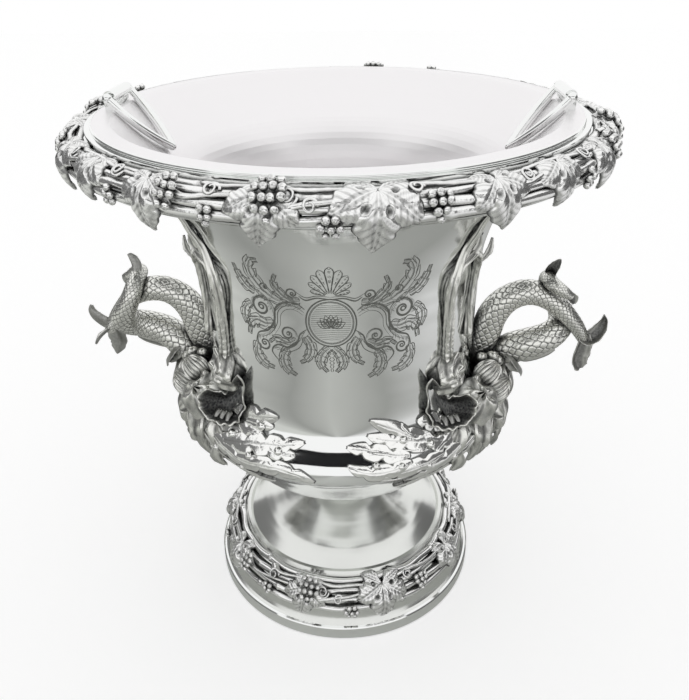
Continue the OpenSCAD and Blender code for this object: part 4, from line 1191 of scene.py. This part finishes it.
def corner_mass(casting):
    # burl at the trunk's foot, with its knot
    lump(casting, on_wall(46.8, 170.5, 77.5), (7.6, 11, 7.6), facing(30, 8), ribs=4, depth=0.13, swirl=1.3,
         knots=0.10, seed=3, sides=96)
    lump(casting, on_wall(46.2, 169, 83.2), (3.0, 4.6, 2.8), facing(20, 20), ribs=2, depth=0.25, swirl=2.2,
         knots=0.08, seed=5)
    lump(casting, on_wall(53.5, 168, 76.5), (3.8, 9, 4.0), facing(60, 30), ribs=3, depth=0.18, swirl=0.7,
         knots=0.14, seed=8)
    # head behind the mouth, then the two ribbed frills of the gills and the eye
    lump(casting, (73, -35, 139), (13.5, 14, 15), (0.3, -0.5, 0.8), ribs=5, depth=0.08, swirl=0.4,
         knots=0.16, seed=9, sides=96)
    fan(casting, (82.4, -21, 149.5), (7.6, 7.4, 8.6), (-0.62, -0.25, -0.72), 19, 11)
    fan(casting, (86.6, -22.5, 142), (9.4, 7.8, 9.4), (-0.78, -0.30, -0.50), 25, 13)
    lump(casting, (75.2, -28.5, 147.5), (4.8, 5.4, 3.8), facing(38, 25), ribs=2, depth=0.22, swirl=1.4,
         knots=0.10, seed=15)
    for x, y, z, r in ((81.8, -11, 153.5, 3.6), (85.6, -12.6, 155.8, 3.4), (88.8, -11.8, 152.8, 3.2),
                       (79.2, -15, 157, 2.6)):
        lump(casting, (x, y, z), (r, r, r * 1.15), facing(45, 30), ribs=2, depth=0.10, swirl=0.5, seed=int(x))
    # smooth cheek towards the back of the head, jaw and throat
    lump(casting, (88.5, -9, 135), (12.2, 11, 15.5), (0.15, 0.1, 1), ribs=5, depth=0.09, swirl=0.25,
         knots=0.08, seed=17, sides=96)
    lump(casting, (87, -15, 122), (11, 10.5, 14), (-0.2, 0.15, 1), ribs=6, depth=0.11, swirl=0.35,
         knots=0.10, seed=19, sides=96)
    lump(casting, (74, -38, 127), (11.5, 11, 14), (-0.3, 0.2, 1), ribs=7, depth=0.12, swirl=0.35,
         knots=0.12, seed=21, sides=96)
    lump(casting, (61, -52, 131), (10, 9, 11), (0.2, -0.3, 1), ribs=6, depth=0.14, swirl=0.4, knots=0.10,
         seed=23, sides=96)
    lump(casting, (84.5, -12, 109), (8, 7.5, 10), (0, 0, 1), ribs=5, depth=0.13, swirl=0.3, knots=0.12,
         seed=25)
    lump(casting, (75, -30, 112), (8.5, 8, 10), (0.1, -0.1, 1), ribs=5, depth=0.15, swirl=0.3, knots=0.14,
         seed=27)
    # leaves that hang from the jaw, each as root, middle and tip, with its width
    for root, middle, tip, wide in (((84, -24, 131), (88.5, -24, 121), (88, -20.5, 106), 4.6),
                                    ((78, -36, 128), (81.5, -38, 117), (79.5, -34, 103), 4.6),
                                    ((90, -8, 124), (95, -9, 113), (92, -8, 99), 4.4),
                                    ((70, -46, 130), (74, -49, 120), (72, -45, 107), 4.4),
                                    ((80, -30, 139), (87, -33, 132), (92, -31, 128), 4.2),
                                    ((62, -56, 128), (64.5, -60, 119), (62, -56, 109), 4.0),
                                    ((86, -18, 118), (92, -19, 108), (90, -17, 97), 3.6)):
        blade(casting, [root, middle, tip], (2.4, wide, 0.9), np.array(middle) - (45, 0, 118), trough=0.55,
              rays=3, thick=1.2 * MM, ragged=0.07)

for side in ("right", "left"):
    mass = Casting()
    for end in ("front", "back"):
        stem, cup = Casting(), Casting()
        mirrored(stem, side == "right", end == "front", trunk)
        filed_to_wall(stem)
        stem.make(f"{side}_{end}_trunk", handle_silver, "vase", f"trunk_{side}_{end}")
        mirrored(cup, side == "right", end == "front", mouth)
        filed_to_wall(cup)
        cup.make(f"{side}_{end}_mouth", handle_silver, "vase", f"cup_{side}_{end}")
        mirrored(mass, side == "right", end == "front", corner_mass)
    filed_to_wall(mass)
    mass.make(f"{side}_heads_and_leafage", handle_silver, "vase", f"boss_{side}")

# %% [markdown]
# ## The sprays on the shoulder
# Between the heads and the front of the cooler lie sprays of deep-lobed leaves and acorns, cast thin,
# chased and polished bright. Only their cut edges and the gaps between them are dark: the code puts
# painted shade along each leaf's edge and ends and round the foot of each acorn. Each leaf is a long
# plate with a scalloped outline that lies on the shoulder's curve, which the code reads from the
# construction model as a list of heights and radii.

# %% The curve of the shoulder
rising = body_curve[:np.argmax(body_curve[:, 1]) + 1]
outline = rising[np.argsort(rising[:, 1], kind="stable")][:, ::-1]
slope_top = 158.0
slope_z = np.arange(slope_top, 76, -0.25)
slope_r = np.interp(slope_z, outline[:, 0], outline[:, 1])
slope_r = ironed(slope_r, 8)
slope_s = np.concatenate([[0], np.cumsum(np.hypot(np.diff(slope_r), 0.25))])
slope_girth = 80.0
print("the slope is", round(slope_s[-1], 1), "mm long from top to bottom")

def on_slope(flat):
    """Bends x along the girth, y down the slope and z outwards, in millimetres, onto the vase, in metres."""
    flat = np.asarray(flat, float)
    x, y, out = flat[..., 0], flat[..., 1], flat[..., 2]
    r, z = np.interp(y, slope_s, slope_r), np.interp(y, slope_s, slope_z)
    dr = np.interp(y + 0.5, slope_s, slope_r) - np.interp(y - 0.5, slope_s, slope_r)
    dz = np.interp(y + 0.5, slope_s, slope_z) - np.interp(y - 0.5, slope_s, slope_z)
    long_ = np.hypot(dr, dz)
    r, z, a = r - out * dz / long_, z + out * dr / long_, x / slope_girth
    return np.stack([r * np.sin(a), -r * np.cos(a), z], -1) * MM

def slope_place(azimuth, height):
    """Where a point of the vase lies on the flat slope."""
    return radians(azimuth) * slope_girth, float(np.interp(-height, -slope_z, slope_s))

# %% Leaves and acorns of the sprays
def lobed(casting, route, width, lobes=3, deep=0.42, lift=1.1, edge=1.0, cols=17):
    """A deep-lobed leaf along rows of azimuth and height, as wide to each side as given."""
    line = smooth_line([slope_place(a, z) for a, z in route], 14)
    run = run_of(line)
    at = np.linspace(0, run[-1], max(int(run[-1] / 0.42), 24))
    line = resampled(line, run, at)
    t = np.linspace(0, 1, len(at))[:, None]
    u = np.linspace(-1, 1, cols)[None, :]
    along = unit(np.gradient(line, axis=0))
    across = np.stack([-along[:, 1], along[:, 0]], -1)
    full = np.sin(pi * np.clip(t, 0.03, 0.985) ** 0.8) ** 0.62
    beat = (lobes * t + 0.16 * np.sign(u) + 0.5) % 1
    notch = np.exp(-((beat - 0.5) / 0.15) ** 2) * (t < 1 - 0.45 / lobes)
    half = 1.5 * width * full * (1 - deep * notch)
    ahead = 0.42 * width * np.abs(u) ** 1.4 * full
    flat = line[:, None] + (u * half)[..., None] * across[:, None] + ahead[..., None] * along[:, None]
    vein = np.exp(-(u / 0.09) ** 2) * (t < 0.9)
    branch = np.exp(-((beat - 0.02 - 0.2 * np.abs(u)) % 1 / 0.09) ** 2) * (np.abs(u) < 0.6)
    height = edge + lift * (1 - u ** 2) * full - 0.16 * vein - 0.08 * branch
    tips = 1 - 0.5 * np.clip((t - 0.85) / 0.15, 0, 1) ** 2
    front = np.concatenate([flat, (height * tips + 0 * u)[..., None]], -1)
    back = np.concatenate([flat, np.full_like(front[..., :1], -0.3)], -1)
    # Painted shade along the edges and at both ends of the leaf; the veins are a little darker, with real
    # oxide and painted shade.
    dark = np.clip((np.abs(u) - 0.88) / 0.12, 0, 1) ** 0.7 + 0.3 * vein * (np.abs(u) < 0.1) + 0.10 * branch
    dark = np.maximum(dark, 0.9 * ((t < 0.02) | (t > 0.985)))
    casting.add_plate(on_slope(front), on_slope(back), np.clip(dark, 0, 1))

def acorn(casting, azimuth, height, radius, lift=1.4):
    """A round boss, sunk a little into the leaves, with its chased ring."""
    x, y = slope_place(azimuth, height)
    corner = on_slope(np.array([(x, y, lift), (x + 1, y, lift), (x, y + 1, lift), (x, y, lift + 1)]))
    polar = np.linspace(0, pi * 0.8, 14)[:, None]
    turn = np.linspace(0, tau, 28, endpoint=False)[None, :]
    r = radius * (1 - 0.05 * np.exp(-((polar - 1.25) / 0.1) ** 2))
    boss = ball(r, polar, turn, (1, 1, 0.85))
    # Painted shade round the foot of the boss, where it sinks into the leaves.
    dark = np.clip((polar - 1.3) * 1.8, 0, 1) + 0 * turn
    casting.add_tube(corner[0] + boss * MM @ unit(corner[1:] - corner[0]), dark)

def stalk(casting, route, width):
    """A stem of a spray along rows of azimuth and height."""
    line = smooth_line([(*slope_place(a, z), 0.7) for a, z in route], 10)
    radius = width * np.linspace(1.0, 0.55, len(line))
    casting.add_tube(on_slope(tube(line, radius, side=(0, 0, 1), n=12)), 0.12)

# %% The two sprays
# each leaf as azimuths and heights from root to tip, width to each side, lobes
right_spray = [([(38, 138.5), (30, 142), (22, 148), (13.5, 154.6)], 3.3, 2),
               ([(31, 141), (27.5, 145), (25.4, 150)], 2.0, 2),
               ([(46, 140), (40, 144.5), (33, 148.4)], 3.8, 3),
               ([(46, 134), (36, 137.5), (26, 140.8), (17, 144), (12.4, 146.6)], 4.2, 4),
               ([(27, 134.6), (19, 137), (11, 140), (4.6, 141.6)], 3.5, 3),
               ([(27, 132.4), (18, 130.8), (10, 131.6), (4.8, 134.8)], 3.0, 3),
               ([(40, 130.4), (30, 129.6), (21, 129), (13.4, 127.6)], 3.0, 3),
               ([(54, 133), (45, 129), (35, 125), (24, 121)], 3.2, 4),
               ([(58, 126), (48, 120.5), (38, 117), (30, 116)], 3.2, 4),
               ([(52, 137), (44, 135.4), (36, 132.5)], 3.4, 3),
               ([(60, 119), (52, 112), (44, 108), (37, 107)], 3.0, 3),
               ([(34, 122), (28, 117), (22, 114)], 2.4, 3)]
right_acorns = [(25.7, 141.5, 2.3), (35.4, 136.3, 2.5), (42.4, 141, 2.4), (22.8, 131.6, 2.2),
                (14.4, 133.6, 2.0), (44, 126, 2.0), (33, 128, 1.7), (48, 116, 1.9)]
left_spray = [([(45, 146), (37, 148.4), (29, 150.6), (21.6, 153)], 3.9, 3),
              ([(40, 145.5), (33, 145.5), (23.6, 147.2)], 3.3, 3),
              ([(41, 143.5), (34, 141.5), (27, 141.6)], 3.0, 2),
              ([(44, 143), (40, 139.5), (34.6, 137)], 3.0, 2),
              ([(51, 137), (44, 139), (37, 142.4), (31.4, 144.4)], 3.4, 3),
              ([(47, 131.5), (37, 134.6), (27, 137.8), (18, 140), (10.6, 142.8)], 4.4, 5),
              ([(26, 137), (20, 136.6), (13.4, 136.8)], 3.0, 2),
              ([(42, 127.4), (31, 129), (20, 130.6), (12, 129.6), (5.8, 126.4)], 3.2, 5),
              ([(54, 133), (45, 131), (36, 128.6), (28, 125)], 3.0, 4),
              ([(57, 126), (47, 121), (37, 118.6), (28, 118)], 3.2, 4),
              ([(60, 119), (51, 112.5), (43, 109), (36, 108.5)], 3.0, 3),
              ([(36, 123.6), (28, 121), (20, 121.6)], 2.4, 3)]
left_acorns = [(28.3, 146, 2.6), (40.2, 136.6, 2.6), (19.6, 137.2, 2.4), (30, 132, 2.0), (46, 126.5, 2.0),
               (33, 124.5, 1.7), (48, 117, 1.9)]
right_stalks = [([(50, 139), (40, 137), (31, 136), (24, 137.4)], 1.2),
                ([(56, 128), (44, 125.6), (34, 126), (26, 129)], 1.2),
                ([(30, 127), (22, 125.4), (15, 126.4)], 0.8)]
left_stalks = [([(50, 141), (42, 142.4), (36, 145), (30, 147)], 1.2),
               ([(54, 130), (42, 127.6), (32, 131), (24, 134)], 1.2),
               ([(31, 137.6), (26, 139.8), (21.4, 141.8)], 0.5)]

def spray(casting, leaves, acorns, stalks):
    for route, width in stalks:
        stalk(casting, route, width)
    for k, (route, width, lobes) in enumerate(leaves):
        lobed(casting, route, width, lobes, edge=0.9 + 0.25 * (k % 3))
    for azimuth, height, radius in acorns:
        acorn(casting, azimuth, height, radius)

for side, end in (("right", "front"), ("right", "back"), ("left", "front"), ("left", "back")):
    casting = Casting()
    rows = (right_spray, right_acorns,
            right_stalks) if (side == "right") == (end == "front") else (left_spray, left_acorns, left_stalks)
    mirrored(casting, side == "right", end == "front", lambda c, rows=rows: spray(c, *rows))
    casting.make(f"{side}_{end}_spray", spray_silver, "vase", f"spray_{side}_{end}")

# %% [markdown]
# ## The engraving
# An engraver cuts the front with a burin: a stroke starts as a hair, swells as the hand leans on it and
# thins again, and soft greys are rows of fine parallel cuts. The strokes are drawn here on a flat
# sheet, x along the girth and y up, and wrapped onto the vase as ribbons a few hundredths of a
# millimetre proud. A plain symmetrical cartouche of scrolls and leaves stands in for a family's arms.

# %% Strokes
class Engraving:
    """Cuts on the front of the vase. Lines are rows of x and y in millimetres from its middle."""
    def __init__(self, height):
        self.height, self.casting, self.strokes = height, Casting(), 0

    def wrap(self, points, out):
        r = np.interp(self.height + points[..., 1], outline[:, 0], outline[:, 1]) + out
        a = points[..., 0] / slope_waist
        return np.stack([r * np.sin(a), -r * np.cos(a), self.height + points[..., 1]], -1) * MM

    def cut(self, line, width, both=True, steps=6, swell=True):
        """One stroke. both repeats it mirrored on the left half."""
        line = smooth_line(line, steps)
        t = np.linspace(0, 1, len(line))
        half = 0.5 * width * ((0.25 + 0.75 * np.sin(pi * t) ** 0.7) if swell else np.ones_like(t))
        along = unit(np.gradient(line, axis=0))
        across = np.stack([-along[:, 1], along[:, 0]], -1) * half[:, None]
        strip = np.stack([line - across, line + across], 1)
        for flip in ((1, -1) if both else (1,)):
            turned_strip = strip * (flip, 1)
            if flip < 0:
                turned_strip = turned_strip[:, ::-1]
            self.casting.add_plate(self.wrap(turned_strip, 0.035)[:, ::-1],
                                   self.wrap(turned_strip, -0.1)[:, ::-1], 1.0)
            self.strokes += 1

    def scroll(self, x, y, radius, start, turns, way=1, width=0.7, tail=0.16):
        """A volute that winds inwards, and the fine line that follows it inside."""
        t = np.linspace(0, 1, int(14 * turns) + 6)
        for inset, wide in ((0, width), (0.13 * radius, 0.5 * width)):
            r = (radius - inset) * (1 - (1 - tail) * t ** 0.8)
            a = radians(start) + way * tau * turns * t
            self.cut(np.stack([x + r * np.cos(a), y + r * np.sin(a)], -1), wide, steps=3)
        self.cut([(x + tail * radius * cos(k), y + tail * radius * sin(k)) for k in np.linspace(0, 6.6,
                9)], width, steps=3)

    def hatch(self, line, reach, angle, count, width=0.22):
        """A row of fine parallel cuts that starts along a line."""
        line = smooth_line(line, 10)
        for k in np.linspace(0, len(line) - 1, count).astype(int):
            lean = radians(angle + 6 * sin(k))
            far = reach * (0.7 + 0.3 * sin(2.1 * k))
            x, y = line[k]
            self.cut([(x, y), (x + 0.5 * far * cos(lean), y + 0.55 * far * sin(lean)),
                      (x + far * cos(lean + 0.15), y + far * sin(lean + 0.15))], width, steps=3)

    def frond(self, line, width, lobes=5, pen=0.5):
        """An acanthus leaf: hooked lobes on both sides of a stem, each with its vein and shading."""
        spine = smooth_line(line, 12)
        along = unit(np.gradient(spine, axis=0))
        across = np.stack([-along[:, 1], along[:, 0]], -1)
        last = len(spine) - 1
        self.cut(line, pen)
        self.cut(spine[:int(last * 0.8)] + across[:int(last * 0.8)] * 0.55, pen * 0.5, steps=2)
        full = lambda f: width * sin(pi * (0.16 + 0.84 * f)) ** 0.8
        for side in (1, -1):
            for k in range(lobes):
                f0, f1 = k / lobes, (k + 1) / lobes
                i0, i1 = int(f0 * last), int(min(f1, 0.985) * last)
                im = (i0 + i1) // 2
                w = full((f0 + f1) / 2) * (0.86 + 0.14 * sin(2.3 * k + 2 * side))
                start = spine[i0] + across[i0] * side * full(f0) * 0.42
                bulge = spine[im] + across[im] * side * w * 0.96 - along[im] * 0.10 * w
                tip = spine[i1] + across[i1] * side * w * 0.98 + along[i1] * w * 0.32
                sinus = spine[i1] + across[i1] * side * full(f1 * 0.97) * 0.42
                self.cut([start, bulge, tip], pen, steps=5)
                self.cut([tip, 0.5 * (tip + sinus) - across[i1] * side * 0.05 * w - along[i1] * 0.12 * w,
                          sinus], pen * 0.8, steps=5)
                root = spine[i0] + across[i0] * side * 0.3
                self.cut([root, 0.5 * (root + bulge) + along[im] * 0.1 * w, root + (tip - root) * 0.86],
                         pen * 0.5, steps=4)
                for shade in (0.15, 0.30, 0.45, 0.60, 0.75):
                    near = sinus + (bulge - sinus) * 0.25 + (start - sinus) * shade * 0.8
                    self.cut([near, near + (tip - bulge) * 0.30, near + (tip - bulge) * 0.62], 0.2, steps=3)

# %% The cartouche
slope_waist = wall_radius(200)
engraved = Engraving(213.0)
cut, scroll, frond, hatch = engraved.cut, engraved.scroll, engraved.frond, engraved.hatch
oval = [(11.5 * sin(a), -3 + 12.5 * cos(a)) for a in np.linspace(0, pi, 11)]
for size_, pen in ((1.0, 0.75), (0.90, 0.4), (0.86, 0.3)):
    cut([(x * size_, -3 + (y + 3) * size_) for x, y in oval], pen, swell=False)
for k in range(-9, 10):
    half = 9.2 * max(1 - (k / 10.2) ** 2, 0) ** 0.5
    cut([(0, -3 + k), (half * 0.5, -3 + k + 0.15), (half, -3 + k)], 0.2, swell=False, steps=3)
for k in range(7):
    a = pi * (k - 3) / 8.5
    for reach_, splay, pen in ((7.4, 1.7, 0.5), (5.4, 0.9, 0.3)):
        cut([(0.6 * sin(a), -6 + 0.6 * cos(a)),
             (0.55 * reach_ * sin(a) + splay * cos(a), -6 + 0.55 * reach_ * cos(a) - splay * sin(a)),
             (reach_ * sin(a), -6 + reach_ * cos(a))], pen)
# the palmette that crowns it
for k, (lean, long_) in enumerate(((0, 16), (17, 15), (34, 13.5), (52, 11.5), (72, 9))):
    a = radians(lean)
    for side in (1, -1):
        edge_ = [(2.2 * sin(a), 11 + 1.5 * cos(a)), (long_ * 0.5 * sin(a + 0.16 * side),
                                                     11 + long_ * 0.5 * cos(a + 0.16 * side)),
                 (long_ * 0.86 * sin(a + 0.13 * side), 11 + long_ * 0.86 * cos(a + 0.13 * side)),
                 (long_ * sin(a), 11 + long_ * cos(a))]
        cut(edge_, 0.5)
    hatch([(0.45 * long_ * sin(a), 11 + 0.45 * long_ * cos(a)),
           (0.9 * long_ * sin(a), 11 + 0.9 * long_ * cos(a))], 1.3, 90 - lean - 40, 8)
cut([(0, 9.4), (6, 9.9), (11, 8.4), (14, 10.4)], 0.8)
cut([(0, 10.6), (6, 11.0), (11, 9.8), (15, 12.2)], 0.45)
# C-scrolls and leaves of the right half, mirrored by every stroke
scroll(17.0, 11.4, 3.6, 265, 1.4, 1, 0.7)
scroll(33.4, 1.4, 7.0, 200, 1.7, -1, 0.9)
scroll(20.6, -10.6, 4.6, 195, 1.5, -1, 0.75)
scroll(33.6, -18.4, 4.8, 60, 1.5, -1, 0.8)
scroll(30.2, 12.6, 3.2, 250, 1.3, 1, 0.6)
cut([(11.8, 3.4), (16, 6.4), (22, 5.6), (26.2, 1.6), (27.2, -5), (31, -10.6), (36.6, -13.4), (38.6, -19)],
    1.1)
cut([(12.2, 1.8), (16.5, 4.6), (21.6, 3.8), (24.9, 0.2), (25.8, -6), (29.6, -12), (35, -15.4)], 0.5)
cut([(12.4, 0.2), (16.8, 2.8), (21, 2.0), (23.6, -1.4), (24.4, -7), (28.4, -13.4)], 0.3)
cut([(11.2, -7), (14.6, -10), (16.4, -14.6), (21, -18), (26.6, -17.6), (29.6, -22), (25, -27.5)], 1.0)
cut([(10.4, -9.4), (13.2, -13), (15.4, -17.4), (20.4, -20.4), (24.6, -20.4), (26.4, -24)], 0.45)
frond([(23, 6), (28, 8), (33.5, 13), (36.6, 19.6), (34.4, 26), (30.6, 27)], 4.6, 6)
frond([(36, 8.6), (40.4, 11), (43.4, 16), (44.6, 22)], 3.2, 5)
frond([(39, 2), (43.2, -1.6), (43.8, -7), (41, -11.6)], 3.4, 5)
frond([(13.6, 7.4), (18, 7.4), (22.6, 10.4), (25.4, 15.4), (23.4, 20.6)], 3.0, 5)
frond([(27.4, -6), (32, -7.4), (37, -6.6), (41, -9.8), (42.4, -15.4)], 4.2, 5)
frond([(37.6, -19), (38.4, -25), (34.6, -29.6), (29, -31)], 3.8, 5)
frond([(21, -19), (23.6, -24), (22.2, -29.6), (17.4, -33)], 3.6, 5)
frond([(12.2, -11), (9.6, -16.4), (10.8, -22), (15.2, -25.4)], 3.2, 5)
frond([(0.8, -16.4), (4.2, -19.8), (5.2, -25), (2.2, -29.6)], 3.2, 5)
frond([(16.6, -13), (21, -15.6), (26.6, -14), (30.6, -17)], 2.6, 4)
hatch([(13, 5), (20, 6), (25.6, 1.4), (26.6, -6)], 3.2, -60, 34)
hatch([(27, -6), (31, -11.4), (37, -14.4)], 3.0, -110, 26)
hatch([(12, -8), (16, -15), (22, -18.6), (27, -18.4)], 3.0, -50, 30)
hatch([(33, 8), (38.6, 5), (40.2, -1)], 2.8, 200, 22)
hatch([(28, 2), (31, 6.4), (35, 7.6)], 2.0, -70, 16)
for k in range(6):
    cut([(0.2, -17.5 - 2 * k), (1.6 - 0.2 * k, -18.6 - 2 * k), (0.2, -19.5 - 2 * k)], 0.4)
engraved.casting.make("engraved_cartouche", cut_silver, "vase")
print(engraved.strokes, "strokes")
